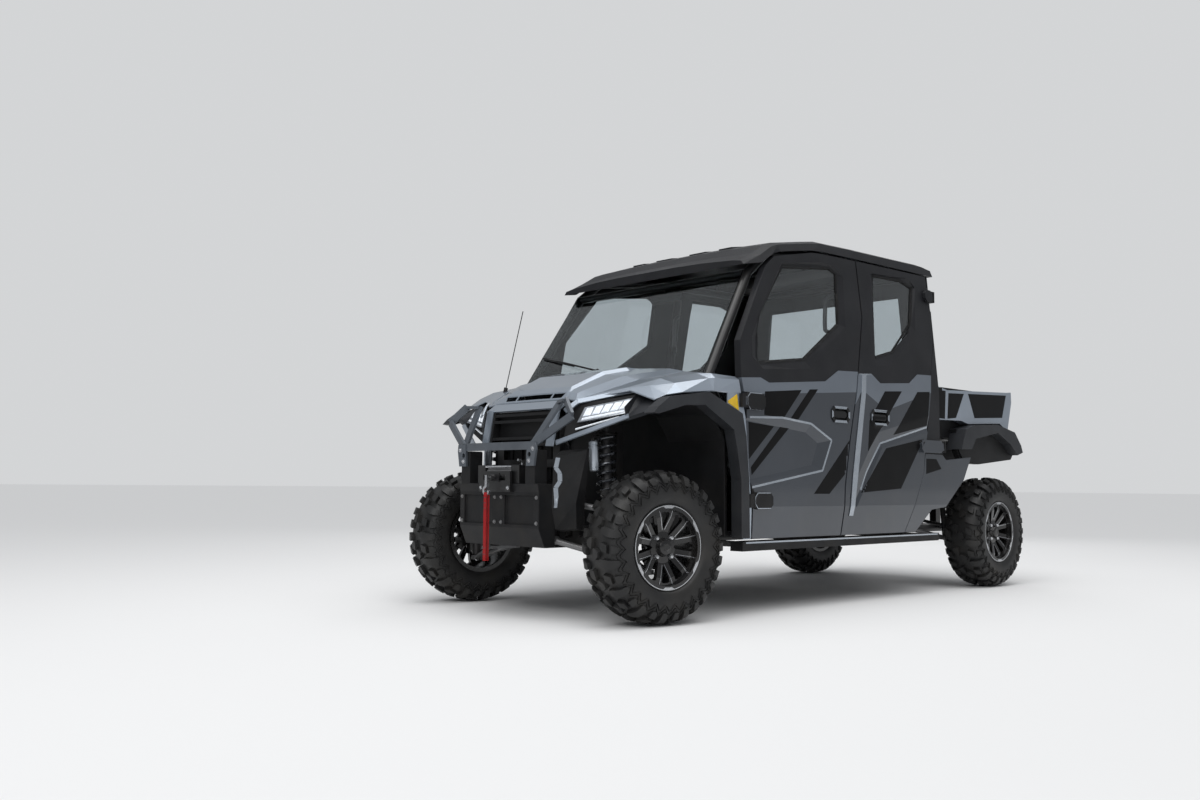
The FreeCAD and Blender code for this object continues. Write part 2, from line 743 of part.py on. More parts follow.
# Slanted frame round each window: outline on the surface, outline on its floor
FRONT_FRAME = (
    ((607, 1821), (253, 1877), (119, 1875), (27, 1822), (45, 1527), (408, 1259), (831, 1226), (920, 1290),
     (914, 1389)),
    ((590, 1813), (240, 1862), (142, 1864), (73, 1832), (96, 1540), (448, 1303), (840, 1254), (872, 1290),
     (861, 1395)),
)
REAR_FRAME = (
    ((-243, 1883), (-654, 1909), (-740, 1857), (-696, 1566), (-388, 1345), (-207, 1315), (-222, 1600)),
    ((-281, 1887), (-595, 1898), (-726, 1861), (-668, 1618), (-424, 1420), (-223, 1372), (-250, 1600)),
)
# Sculpted hollow in the front door, and the crease across the rear one
DOOR_HOLLOW = (
    ((1000, 640), (1000, 977), (686, 987), (441, 967), (258, 888), (340, 728)),
    ((1000, 662), (1000, 966), (652, 937), (477, 923), (369, 870), (425, 752)),
)
REAR_CREASE = ((40, 540), (-231, 884), (-800, 1006))
# Octagons in (x, z) on each door: outer handle, and the fixed cover of each hinge
HANDLES = {"front": (84, 256, 987, 1077), "rear": (-318, -132, 989, 1079)}
HANDLE_RIM, HANDLE_DEPTH, HOLLOW_DEPTH, BELT_STEP, STRIP_RISE = 6, 14, 11, 3, 4
# Upright rib along the rear door's front edge: its front line and its rear line
DOOR_RIB = ((88, 480), (58, 696), (22, 884), (-56, 1268)), ((-98, 1268), (-28, 884), (8, 696), (50, 480))
# name, outline, window, (height, reach) of each hinge, two points on the hinge line, way that the hinge faces
DOORS = (
    ("front", FRONT_DOOR, FRONT_WINDOW, ((565, 150), (1060, 150)), ((943, 802, 565), (1002, 802, 1060)), 1),
    ("rear", REAR_DOOR, REAR_WINDOW, ((885, 250), (1820, 90)), ((-903, 802, 885), (-903, 740, 1820)), -1),
)


def hinge_line(line):
    a, b = at(*line[0]), at(*line[1])
    return a, (b - a).normalize()


def make_door_pair():
    for end, outline, window, stations, line, forward in DOORS:
        thick = float(s.door_thickness)
        recess = float(s.window_recess)
        band = side_band(0, thick)
        leaf = band.common(outline_prism(outline))
        belt, frame = (FRONT_BELT, FRONT_FRAME) if end == "front" else (REAR_BELT, REAR_FRAME)
        front_x, rear_x = belt[0][0] + 40, belt[-1][0] - 100
        above = belt + ((rear_x, belt[-1][1]), (rear_x, 1990), (front_x, 1990), (front_x, belt[0][1]))
        leaf = leaf.cut(side_band(-5, BELT_STEP).common(outline_prism(above)))
        leaf = leaf.cut(dish(frame[0], frame[1], recess))
        leaf = leaf.cut(outline_prism(window))
        if end == "front":
            leaf = leaf.cut(dish(DOOR_HOLLOW[0], DOOR_HOLLOW[1], HOLLOW_DEPTH))
        else:
            leaf = leaf.cut(crease(REAR_CREASE, 70, 26, 8).common(outline_prism(REAR_DOOR)))
            rib = side_band(-STRIP_RISE, 4).common(outline_prism(DOOR_RIB[0] + DOOR_RIB[1]))
            leaf = leaf.fuse(rib.common(outline_prism(outline)))
        x0, x1, z0, z1 = HANDLES[end]
        bezel = side_band(-HANDLE_RIM, 20).common(outline_prism(octagon(x0, x1, z0, z1, 24)))
        pocket = octagon(x0 + 16, x1 - 16, z0 + 14, z1 - 14, 18)
        leaf = leaf.fuse(bezel).cut(side_band(-HANDLE_RIM - 2, HANDLE_DEPTH).common(outline_prism(pocket)))
        paddle = octagon(x0 + 34, x1 - 15, z0 + 27, z1 - 27, 10)
        leaf = leaf.fuse(side_band(-HANDLE_RIM, HANDLE_DEPTH + 1).common(outline_prism(paddle)))
        rim = grown(window, 12)
        pane = side_band(recess + 8, recess + 8 + float(s.glass_thickness)).common(outline_prism(rim))
        leaf = leaf.cut(side_band(recess + 8, thick + 10).common(outline_prism(rim)))
        origin, axis = hinge_line(line)
        r, pin = float(s.hinge_radius), float(s.hinge_pin)
        fixed = []
        for z, length in stations:
            centre = origin + axis * ((z - origin.z) / axis.z)
            knuckle = Part.makeCylinder(r, 44, centre - axis * 22, axis)
            reach = length * forward
            near, far = sorted((centre.x - 2 * forward, centre.x - reach))
            tall = 42 if forward > 0 else 38
            near_x, far_x = near - 1540 + float(front_axle), far - 1540 + float(front_axle)
            plate = side_band(-19, 1).common(outline_prism(octagon(near_x, far_x, centre.z - tall,
                centre.z + tall, 22)))
            for way in (1, -1):
                plate = plate.cut(Part.makeCylinder(r + 0.5, 40, centre + axis * (22.2 * way), axis * way))
            bore = Part.makeCylinder(pin + float(s.running_fit), 60, centre - axis * 30, axis)
            leaf = leaf.fuse(plate).fuse(knuckle).cut(bore)
            ears = Part.makeCylinder(pin, 72, centre - axis * 36, axis)
            for way in (1, -1):
                start = centre + axis * (22.6 * way)
                ear = Part.makeCylinder(r, 12, start, axis * way)
                ears = ears.fuse(ear)
            fixed.append(ears)
        hinge_parts.setdefault(end, []).extend(fixed)
        for side, word in SIDES:
            keep("%s_%s_door" % (end, word), feature("%s_%s_door" % (end, word), sided(merged(leaf), side)))
            keep("%s_%s_window" % (end, word), feature("%s_%s_window" % (end, word), sided(pane, side)))


hinge_parts = {}


def make_hinges():
    """Fixed halves: the pins with their ears, on brackets that stand on the body."""
    pieces = []
    for end, outline, window, stations, line, forward in DOORS:
        origin, axis = hinge_line(line)
        for (z, length), ears in zip(stations, hinge_parts[end]):
            centre = origin + axis * ((z - origin.z) / axis.z)
            bracket = []
            for way in (1, -1):
                base = centre + axis * (28.6 * way)
                near, far = sorted((centre.x, centre.x + 24 * forward))
                arm = Part.makeBox(far - near, 11.5, 11, vec(near, centre.y - 5, base.z - 5.5))
                bracket.append(arm)
            near, far = sorted((centre.x + 12 * forward, centre.x + (38 if forward > 0 else 24) * forward))
            inner = centre.y - (12 if forward > 0 else 62)
            bracket.append(Part.makeBox(far - near, centre.y + 9 - inner, 68,
                                        vec(near, inner, centre.z - 34)))
            web = join(bracket + [ears])
            pieces += [web, mirrored(web)]
    keep("door_hinges", feature("door_hinges", Part.Compound(pieces)))


# Outer panels of the body
ROCKER = ((-910, 318), (985, 315), (985, 364), (-520, 364), (-560, 364), (-910, 364))
QUARTER = ((-520, 376), (-640, 376), (-802, 505), (-962, 520), (-1191, 688), (-1287, 833), (-972, 809),
           (-929, 841), (-730, 841), (-709, 720), (-614, 553))
CORNER = ((-730, 841.3), (-767, 1004), (-826, 1322), (-898, 1545), (-902, 1731), (-905, 1731), (-905, 841.3))


def make_sides():
    rocker = side_band(0, 78).common(outline_prism(ROCKER))
    keep("rocker_panels", feature("rocker_panels", both(rocker)))
    quarter = side_band(4, 16).common(outline_prism(QUARTER))
    keep("quarter_panels", feature("quarter_panels", both(quarter)))


def make_rear_wall():
    """The cab's back, with a window, and the corners that wrap round to the rear doors."""
    section = side_solid(16).common(prism_xz(((-915, 700), (-905, 700), (-905, 1952), (-915, 1952)), 0, 900))
    middle = block((-915, -905), (-541, 541), (700, 1952))
    wall = join([middle, section, mirrored(section)])
    window = prism_yz(((-520, 1330), (520, 1330), (540, 1400), (500, 1840), (-500, 1840), (-540, 1400)), -950,
                      -880)
    wall = wall.cut(window)
    rebate = prism_yz(((-532, 1318), (532, 1318), (552, 1400), (512, 1852), (-512, 1852), (-552, 1400)), -910,
                      -900)
    wall = wall.cut(rebate)
    pane = prism_yz(((-532, 1318), (532, 1318), (552, 1400), (512, 1852), (-512, 1852), (-552, 1400)), -910,
                    -905)
    corner = side_band(6, 16).common(outline_prism(CORNER))
    wall = join([wall, corner, mirrored(corner)])
    keep("cab_rear_panel", feature("cab_rear_panel", wall))
    keep("rear_window", feature("rear_window", pane))


# x, height of the side's lower edge, height of the shoulder, height of the middle
ROOF = (
    (880, 1778, 1806, 1824), (768, 1798, 1856, 1870), (668, 1860, 1915, 1928), (602, 1882, 1939, 1952),
    (322, 1931, 1990, 2002), (207, 1940, 2009, 2022), (-110, 1948, 2020, 2036), (-870, 1960, 2036, 2045),
    (-978, 1962, 2020, 2028),
)


# inner and outer y of the roof's raised ribs, and their drop below the ridge
ROOF_RIBS = ((70, 190, 0), (290, 380, 1.5))


def roof_section(x, edge, shoulder, ridge, inset):
    lean = 0.094 * (edge - 1790) + max(0, x - 790) * 0.4
    half = [(724 - lean - inset, edge), (708 - lean - inset, edge + (shoulder - edge) * 0.7 - inset),
            (655 - lean - inset, shoulder - inset), (400, ridge - 4 - inset), (230, ridge - inset)]
    if inset:
        half[0] = (half[0][0], edge - 60)
    ring = [(y, z) for y, z in half] + [(-y, z) for y, z in reversed(half)]
    return [at(x, y, z) for y, z in ring]


def make_roof():
    outer = loft_flat([roof_section(*row, 0) for row in ROOF])
    inner_rows = [(872, 1778, 1806, 1824)] + list(ROOF[1:-1]) + [(-972, 1962, 2020, 2028)]
    inner = loft_flat([roof_section(*row, 8) for row in inner_rows])
    roof = outer.cut(inner)
    pads = []
    for x, low, high in ((160, 1960.3, 2006), (-500, 1974.3, 2028)):
        pad = block((x - 30, x + 30), (612, 636), (low, high))
        pads += [pad, mirrored(pad)]
    crown = [(x, ridge) for x, edge, shoulder, ridge in ROOF if -900 < x < 610]
    for y0, y1, sink in ROOF_RIBS:
        top = [(x, ridge + 6 - sink) for x, ridge in crown]
        low = [(x, ridge - 6 - sink) for x, ridge in reversed(crown)]
        rib = prism_xz(top + low, y0, y1)
        pads += [rib, mirrored(rib)]
    keep("roof_panel", feature("roof_panel", join([roof] + pads)))


def make_glass():
    ring = [at(1193, 681, 1183), at(817, 635, 1766), at(817, -635, 1766), at(1193, -681, 1183)]
    normal = (ring[1] - ring[0]).cross(ring[3] - ring[0]).normalize()
    if normal.x > 0:
        normal = normal * -1
    face = Part.Face(Part.makePolygon(ring + [ring[0]]))
    pane = face.extrude(normal * float(s.glass_thickness))
    keep("windscreen", feature("windscreen", pane))


# Front of the body: rows of points from the middle outward, rear row first
HOOD = (
    ((1240, 0, 1240), (1236, 268, 1238), (1236, 290, 1236), (1232, 500, 1222), (1228, 590, 1204)),
    ((1300, 0, 1240), (1300, 262, 1239), (1298, 284, 1222), (1290, 470, 1208), (1286, 562, 1190)),
    ((1450, 0, 1206), (1450, 240, 1208), (1450, 262, 1191), (1450, 400, 1176), (1450, 492, 1150)),
    ((1640, 0, 1122), (1640, 222, 1120), (1640, 244, 1108), (1640, 310, 1097), (1640, 384, 1074)),
    ((1674, 0, 1096), (1674, 232, 1094), (1675, 250, 1088), (1676, 302, 1079), (1682, 356, 1056)),
    ((1706, 0, 1056), (1706, 236, 1055), (1706, 252, 1054), (1708, 290, 1051), (1712, 335, 1044)),
)
# x, y of the scoop's slot through the raised middle, and the fins that stand in it
SCOOP = ((1677, -228), (1677, 228), (1701, 214), (1701, -214))
SCOOP_FINS = (-135, 135)
FENDER = (
    ((1026, 724, 1178), (1026, 750, 1180), (1026, 778, 1162), (1026, 790, 1097)),
    ((1200, 724, 1186), (1200, 745, 1184), (1200, 770, 1160), (1200, 792, 1095)),
    ((1240, 600, 1200), (1240, 690, 1184), (1240, 764, 1156), (1240, 794, 1095)),
    ((1450, 502, 1150), (1450, 640, 1148), (1460, 745, 1118), (1460, 794, 1073)),
    ((1640, 394, 1074), (1565, 520, 1100), (1520, 640, 1108), (1540, 765, 1058)),
    ((1712, 345, 1043), (1636, 450, 1068), (1570, 560, 1088), (1590, 740, 1034)),
)
FENDER_SIDE = ((1024, 1096), (1200, 1094), (1288, 1088), (1288, 1084.5), (1039, 993.5), (1010, 881),
               (989, 668), (985, 382), (985, 376), (925, 376),
               (959, 668), (991, 977), (1012, 1060))
FLARE_OUTER = ((1672, 966), (1640, 996), (1565, 1045), (1288, 1084), (1039, 993), (1010, 881), (989, 668),
               (985, 382))
FLARE_INNER = ((1049, 382), (1051, 668), (1081, 816), (1106, 912), (1318, 1020), (1454, 1012), (1640, 962))


# Outer skin of the black piece between the lamp and the arch, and how far its lining stands in
FLARE_CAP = ((1660, 622, 950), (1684, 634, 998), (1512, 584, 1106), (1402, 618, 1150), (1442, 706, 1120),
             (1612, 762, 990))
CAP_LINING = (-14, -12, -16)
# Lens of the lamp and the dark housing round it: front low, front top, rear top and rear low
LAMP = (
    ((1740, 372, 932), (1706, 388, 1006), (1660, 392, 1006), (1690, 376, 932)),
    ((1656, 610, 970), (1586, 612, 1050), (1540, 600, 1040), (1606, 596, 970)),
)
LAMP_HOUSING = (
    ((1772, 312, 850), (1732, 312, 1018), (1700, 312, 1018), (1742, 312, 850)),
    ((1640, 632, 948), (1556, 632, 1068), (1526, 620, 1058), (1606, 620, 948)),
)
# start, end and width of the bright strips round each lamp
LAMP_STRIPS = (
    ((1774, 322, 986), (1724, 360, 1034), 26), ((1724, 360, 1034), (1604, 482, 1070), 24),
    ((1604, 482, 1070), (1506, 590, 1098), 22), ((1824, 318, 834), (1656, 636, 958), 24),
)
HOOD_PIN = (1252, 1204)
HOOD_EAR = ((1212, 1150), (1250, 1188), (1264, 1196), (1264, 1208), (1258, 1216), (1246, 1216), (1240, 1208),
            (1240, 1198), (1212, 1176))


def mirror_rows(rows):
    return [[at(x, -y, z) for x, y, z in reversed(row[1:])] + [at(*p) for p in row] for row in rows]


# height of each bar of the grille and the x of its front edge
GRILLE_BARS = ((985, 1773), (952, 1780), (866, 1793), (834, 1799))


def grille_shape():
    """A back plate with a frame and slats that follow the nose's slope."""
    back = prism_xz(((1730, 826), (1742, 826), (1742, 1000), (1730, 1000)), -225, 225)
    pieces = [back]
    for z, front in GRILLE_BARS:
        pieces.append(prism_xz(((1738, z - 6), (front, z - 9), (front - 3, z + 6), (1738, z + 9)), -225, 225))
    for y in (-225, 209):
        pieces.append(prism_xz(((1738, 826), (1801, 826), (1770, 1000), (1738, 1000)), y, y + 16))
    return join(pieces)


def make_front():
    skin = sheet_solid(mirror_rows(HOOD), Vector(0, 0, -6))
    lug = prism_xz(((1243, 1195), (1261, 1195), (1261, 1229), (1243, 1232)), 311, 331)
    lug = lug.common(prism_xz(((1230, 1190), (1280, 1190), (1280, 1226), (1230, 1234)), 300, 340))
    bore = Part.makeCylinder(float(s.hood_pin + s.running_fit), across(60), at(HOOD_PIN[0], 290, HOOD_PIN[1]),
                             vec(0, 1, 0))
    lug = lug.cut(bore)
    slot_ring = [at(x, y, 1030) for x, y in SCOOP]
    slot = Part.Face(Part.makePolygon(slot_ring + [slot_ring[0]])).extrude(vec(0, 0, 120))
    skin = skin.cut(slot)
    fins = []
    for y in SCOOP_FINS:
        fins.append(prism_xz(((1672, 1092), (1672, 1097), (1704, 1057), (1704, 1052)), y - 5, y + 5))
    keep("hood", feature("hood", join([skin, lug, mirrored(lug)] + fins)))
    fender = sheet_solid([[at(*p) for p in row] for row in FENDER], Vector(0, -4, -5))
    side = side_band(0, 5).common(outline_prism(FENDER_SIDE))
    fender = join([fender, side])
    cap_skin = [at(*point) for point in FLARE_CAP]
    cap = loft_flat([[point + vec(*CAP_LINING) for point in cap_skin], cap_skin])
    flare = join([prism_xz(FLARE_OUTER + FLARE_INNER, 748, 812), cap])
    fender = max(fender.cut(flare).Solids, key=lambda solid: solid.Volume)
    keep("front_fenders", feature("front_fenders", both(fender)))
    keep("front_flares", feature("front_flares", both(flare)))
    liner = ((1101, 391), (1107, 391), (1107, 860), (1200, 985), (1420, 1040), (1420, 1046), (1198, 991),
             (1101, 864))
    keep("wheel_well_liners", feature("wheel_well_liners", both(prism_xz(liner, 380, 748))))
    cowl = ((1101, 1060), (1212, 1060), (1212, 1180), (1201, 1187.9), (1165, 1164.7), (1101, 1150))
    pieces = [prism_xz(cowl, -596, 596)]
    # Ears and pins of the hood's two hinges
    for y in (300, 332):
        pieces.append(prism_xz(HOOD_EAR, y, y + 10))
    pieces.append(Part.makeCylinder(float(s.hood_pin), across(42), at(HOOD_PIN[0], 300, HOOD_PIN[1]),
                                    vec(0, 1, 0)))
    pieces += [mirrored(piece) for piece in pieces[1:]]
    keep("cowl_panel", feature("cowl_panel", join(pieces)))
    lamp = loft_flat([[at(*point) for point in row] for row in LAMP]).cut(flare)
    lamp = max(lamp.Solids, key=lambda solid: solid.Volume)
    housing = loft_flat([[at(*point) for point in row] for row in LAMP_HOUSING]).cut(lamp)
    strips = []
    for start, end, width in LAMP_STRIPS:
        strips.append(strut(start, end, (0.5, 0.3, -1), width, 8))
    trim = join(strips[:3]).cut(fender).cut(skin).cut(lamp).cut(flare)
    trim = max(trim.Solids, key=lambda solid: solid.Volume)
    housing = housing.cut(trim).cut(strips[3]).cut(fender).cut(flare)
    housing = max(housing.Solids, key=lambda solid: solid.Volume)
    keep("headlights", feature("headlights", both(lamp)))
    keep("grille", feature("grille", join([grille_shape(), housing, mirrored(housing)])))
    top_bar = prism_xz(((1709, 1040), (1764, 1000), (1772, 1006), (1716, 1047)), -285, 285)
    strip = strut((1764, 256, 1012), (1806, 250, 820), (0, 1, 0), 50, 10)
    lower = strips[3].cut(lamp).cut(flare)
    lower = max(lower.Solids, key=lambda solid: solid.Volume)
    fascia = [top_bar, strip, trim, lower]
    fascia += [mirrored(piece) for piece in fascia[1:]]
    keep("front_fascia", feature("front_fascia", join(fascia)))
    pod = [[at(x, 420, z) for x, z in ((1700, 810), (1717, 802), (1786, 552), (1780, 430), (1740, 425))],
           [at(x, 305, z) for x, z in ((1778, 800), (1828, 762), (1837, 523), (1812, 425), (1778, 415))]]
    keep("bumper_pods", feature("bumper_pods", both(loft_flat(pod))))
    nose = ((1812, 340), (1876, 340), (1915, 430), (1915, 600), (1925, 640), (1812, 640))
    horn = block((1850, 1925), (215, 285), (640, 800))
    shelf = block((1786, 1812), (-240, 240), (600, 640))
    nose = prism_xz(nose, -305, 305)
    for y in (-160, 160):
        nose = nose.cut(block((1904, 1930), (y - 110, y + 110), (445, 585)))
    keep("front_bumper", feature("front_bumper", join([nose, horn, mirrored(horn), shelf])))


# start, end, direction of the width
GUARD = (
    ((1926, 268, 824), (1862, 472, 955), (0, 0.3, -1)), ((1862, 472, 955), (1822, 384, 1034), (0.3, 0.4, 1)),
    ((1822, 384, 1034), (1792, 312, 1030), (1, 0, 0)), ((1794, 315, 1032), (1924, 262, 818), (0, 1, 0)),
    ((1926, 268, 820), (1926, 0, 820), (0, 0, 1)),
)


def make_guard():
    width, thick = float(s.guard_width), float(s.guard_thickness)
    pieces = []
    for start, end, way in GUARD:
        piece = strut(start, end, way, width, thick)
        pieces += [piece, mirrored(piece)]
    plate = prism_yz(((234, 724), (290, 724), (304, 800), (300, 834), (240, 834)), 1925, 1937)
    guard = join(pieces + [plate, mirrored(plate)])
    for y in (-256, 256):
        guard = guard.cut(Part.makeCylinder(12, 60, at(1905, y, 778), vec(1, 0, 0)))
    keep("bumper_guard", feature("bumper_guard", guard))
    drum = Part.makeCylinder(34, across(200), at(1872, -100, 685), vec(0, 1, 0))
    cheeks = [block((1827, 1917), y, (640, 730)) for y in ((100, 160), (-160, -100))]
    keep("winch", feature("winch", join([drum] + cheeks)))


def make_winch_hook():
    """Fairlead plate with a slot, a stopper, an open hook and a flat strap looped over the hook."""
    plate = prism_xz(((1915, 600), (1925, 640), (1925, 700), (1940, 700), (1940, 600)), -120, 120)
    plate = plate.cut(block((1910, 1945), (-85, 85), (655, 681)))
    stopper = Part.makeCylinder(16, 26, at(1940, 0, 668), vec(1, 0, 0))
    rope = Part.makeCylinder(5, 50, at(1935, 0, 668), vec(1, 0, 0))
    shank = block((1978, 1992), (-8, 8), (624, 680))
    bowl = Part.makeCylinder(24, 14, at(1978, 0, 606), vec(1, 0, 0))
    bowl = bowl.cut(Part.makeCylinder(12, 14, at(1978, 0, 606), vec(1, 0, 0)))
    bowl = bowl.cut(block((1970, 2000), (3, 30), (606, 640)))
    hook = join([bowl, shank, rope, stopper, block((1940, 1944), (-40, 40), (648, 690))])
    keep("winch_hook", feature("winch_hook", hook.fuse(plate)))
    loop = block((1975, 1995), (-10, 10), (270, 597)).cut(block((1978, 1992), (-11, 11), (273, 594)))
    keep("recovery_strap", feature("recovery_strap", loop.cut(hook)))


def make_antenna():
    foot, tip = at(1459, -530, 1130), at(1335, -530, 1611)
    way = (tip - foot).normalize()
    base = Part.makeCylinder(11, 40, foot, way).cut(nodes["front_fenders"].Shape)
    base = max(base.Solids, key=lambda solid: solid.CenterOfMass.z)
    mast = Part.makeCylinder(2.5, (tip - foot).Length - 38, foot + way * 38, way)
    keep("antenna", feature("antenna", join([base, mast])))


def make_wiper():
    """Pivot on the windscreen's lower edge, an arm and a blade that lies along the glass."""
    lean = vec(0.8403, 0, 0.5421)
    pivot, tip = at(1152, -95, 1246.5), at(1072, -650, 1370.5)
    along_arm = tip - pivot
    boss = Part.makeCylinder(12, 22, pivot + lean * 0.3, lean)
    top = pivot + lean * 18
    arm = bar_between(top, pivot + along_arm * 0.72 + lean * 18, 5)
    blade = bar_between(pivot + along_arm * 0.42 + lean * 8, tip + lean * 8, 6)
    link = bar_between(pivot + along_arm * 0.7 + lean * 6, pivot + along_arm * 0.7 + lean * 20, 4)
    keep("wiper", feature("wiper", join([boss, arm, blade, link])))


def bar_between(a, b, radius):
    return Part.makeCylinder(radius, (b - a).Length, a, b - a)


STEERING_RATIO = 8


def make_interior():
    dash = ((1095, 1140), (1095, 880), (1010, 850), (930, 890), (915, 1010), (960, 1120))
    hub = at(790, 340, 1078)
    axis = Vector(-0.84, 0, 0.5426).normalize()
    column = Part.makeCylinder(24, 150, hub - axis * 210, axis)
    shaft_hole = Part.makeCylinder(11 + float(s.running_fit), 170, hub - axis * 185, axis)
    binnacle = prism_xz(((975, 1110), (915, 1105), (898, 1165), (955, 1186)), 240, 440)
    shelf = block((1000, 1090), (-560, -120), (1130, 1152))
    board = join([prism_xz(dash, -600, 600), column, binnacle, shelf]).cut(shaft_hole)
    keep("dashboard", feature("dashboard", board))
    bases = [block((110, 560), (-600, 600), (391, 660)), block((-860, -340), (-600, 600), (706, 716))]
    keep("seat_frames", feature("seat_frames", Part.Compound(bases)))
    front, rear = [], []
    for y0, y1 in ((-590, -40), (60, 590)):
        front.append(block((130, 610), (y0, y1), (660.3, 770)))
        front.append(prism_xz(((129.7, 690), (112, 820), (20, 1330), (-60, 1320), (30, 690)), y0, y1))
    keep("front_seats", feature("front_seats", Part.Compound(front)))
    rear.append(block((-760, -320), (-590, 590), (716.3, 810)))
    rear.append(prism_xz(((-760.3, 716.3), (-765, 830), (-800, 1330), (-850, 1330), (-850, 716.3)), -590,
                         590))
    keep("rear_seat", feature("rear_seat", Part.Compound(rear)))
    corners = [math.radians(22.5 + 45 * k) for k in range(8)]
    middle = float(s.steering_wheel_radius) - 13
    section = [Vector(middle + 13 * math.cos(angle), 0, 13 * math.sin(angle)) for angle in corners]
    ring = Part.Face(Part.makePolygon(section + [section[0]])).revolve(Vector(), Vector(0, 0, 1), 360)
    ring.Placement = Placement(hub, Rotation(Vector(0, 0, 1), axis))
    boss = Part.makeCylinder(34, 26, hub - axis * 14, axis)
    shaft = Part.makeCylinder(11, 160, hub - axis * 170, axis)
    spokes = []
    across_way = Vector(0, 1, 0)
    upward = across_way.cross(axis)
    for way in (across_way, across_way * -1, upward):
        tip = hub + way * (float(s.steering_wheel_radius) - 14)
        spokes.append(Part.makeCylinder(9, (tip - hub).Length, hub, way))
    wheel = join([ring, boss, shaft] + spokes)
    wheel.rotate(hub, axis, STEERING_RATIO * float(s.steer_angle))
    keep("steering_wheel", feature("steering_wheel", wheel))


# Cargo bed
GATE_PIN = (-1968, 992)


def make_bed():
    bottom, floor, top, wall = 955, float(s.bed_floor), float(s.bed_top), float(s.bed_wall)
    tub = block((-1985, -950), (-690, 690), (bottom, top)).cut(block((-1990, -985), (-650, 650),
        (floor, top + 60)))
    tub = tub.cut(block((-1990, -1946), (-650, 650), (bottom - 10, top)))
    pins = Part.makeCylinder(float(s.gate_pin + s.running_fit), across(1400),
                             at(GATE_PIN[0], -700, GATE_PIN[1]), vec(0, 1, 0))
    tub = tub.cut(pins)
    lug = prism_xz(((-1800, bottom), (-1890, bottom), (-1888, 930), (-1875, 900), (-1845, 900), (-1835, 925)),
                   214, 226)
    bore = Part.makeCylinder(float(s.hinge_pivot + s.running_fit), 40,
                             vec(bed_pivot.x, across(200), bed_pivot.z), vec(0, 1, 0))
    lug = lug.cut(bore)
    gate = block((-1985, -1958), (-645, 645), (floor - 5, top))
    gate = gate.cut(block((-1990, -1977), (-500, 500), (floor + 50, top - 60)))
    latch = block((-1984, -1974), (-90, 90), (top - 52, top - 22))
    gate = gate.cut(block((-1990, -1974), (-100, 100), (top - 56, top - 18)))
    gate = join([gate, latch, Part.makeCylinder(float(s.gate_pin), across(1350),
                                                at(GATE_PIN[0], -675, GATE_PIN[1]), vec(0, 1, 0))])
    keep("cargo_bed", feature("cargo_bed", join([tub, lug, mirrored(lug)])))
    keep("tailgate", feature("tailgate", gate))
    side = ((-955, 1060), (-955, 1267), (-1070, 1250), (-1881, 1285), (-1925, 1290), (-1929, 1220),
            (-1866, 1022), (-1753, 1070), (-1327, 1047), (-1235, 1065))
    keep("bed_side_panels", feature("bed_side_panels", both(prism_xz(side, 690, 750))))
    flare = ((-1144, 880), (-1204, 1011), (-1327, 1040), (-1622, 1056), (-1866, 1014), (-1954, 928),
             (-1978, 880), (-1900, 860), (-1794, 934), (-1625, 1000), (-1330, 953), (-1273, 884))
    keep("rear_flares", feature("rear_flares", both(prism_xz(flare, 690, 802))))
    keep("tail_lights", feature("tail_lights", both(block((-1993, -1985), (653, 688), (1060, 1200)))))


def make_drive():
    engine = block((-1400, -640), (-180, 180), (385, 690))
    x = float(rear_axle)
    case = block((-1700, -1520), (-120, 120), (385, 480))
    front_case = block((1450, 1590), (-120, 120), (385, 480))
    engine = engine.cut(block((-1000, -640), (-190, 190), (600, 700)))
    cases = [case, front_case]
    for k, axle in enumerate((x, float(front_axle))):
        shaft = Part.makeCylinder(11, across(480), vec(axle, across(110), up(436)),
                                  vec(0, across(480), float(axle_z) - up(436)))
        boot = Part.makeCone(16, 30, across(60), vec(axle, across(119), up(434)), vec(0, 1, -0.16))
        cases[k] = join([cases[k], shaft, boot, mirrored(shaft), mirrored(boot)])
    keep("powertrain", feature("powertrain", Part.Compound([engine] + cases)))


make_wheels()
make_suspension()
make_shocks()
make_steering()
make_frame()
make_hitch()
make_cage()
make_floor()
make_door_pair()
make_hinges()
make_sides()
make_rear_wall()
make_roof()
make_glass()
make_front()
make_guard()
make_winch_hook()
make_antenna()
make_wiper()
make_interior()
make_bed()
make_drive()


def write_parts():
    doc.recompute()
    bad = [o.Name for o in doc.Objects if "Invalid" in o.State or "Error" in o.State]
    if bad:
        raise RuntimeError("failed objects: %s" % bad)
    os.makedirs("parts", exist_ok=True)
    for name, obj in nodes.items():
        shape = obj.Shape
        if shape.isNull() or not shape.isValid() or not shape.Solids:
            raise RuntimeError("bad shape: " + name)
        shape.exportStep("parts/%s.step" % name)
    print("wrote %d parts" % len(nodes))


write_parts()
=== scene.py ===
import json
import math
import bmesh
import bpy
from mathutils import Matrix, Vector
from mathutils.bvhtree import BVHTree


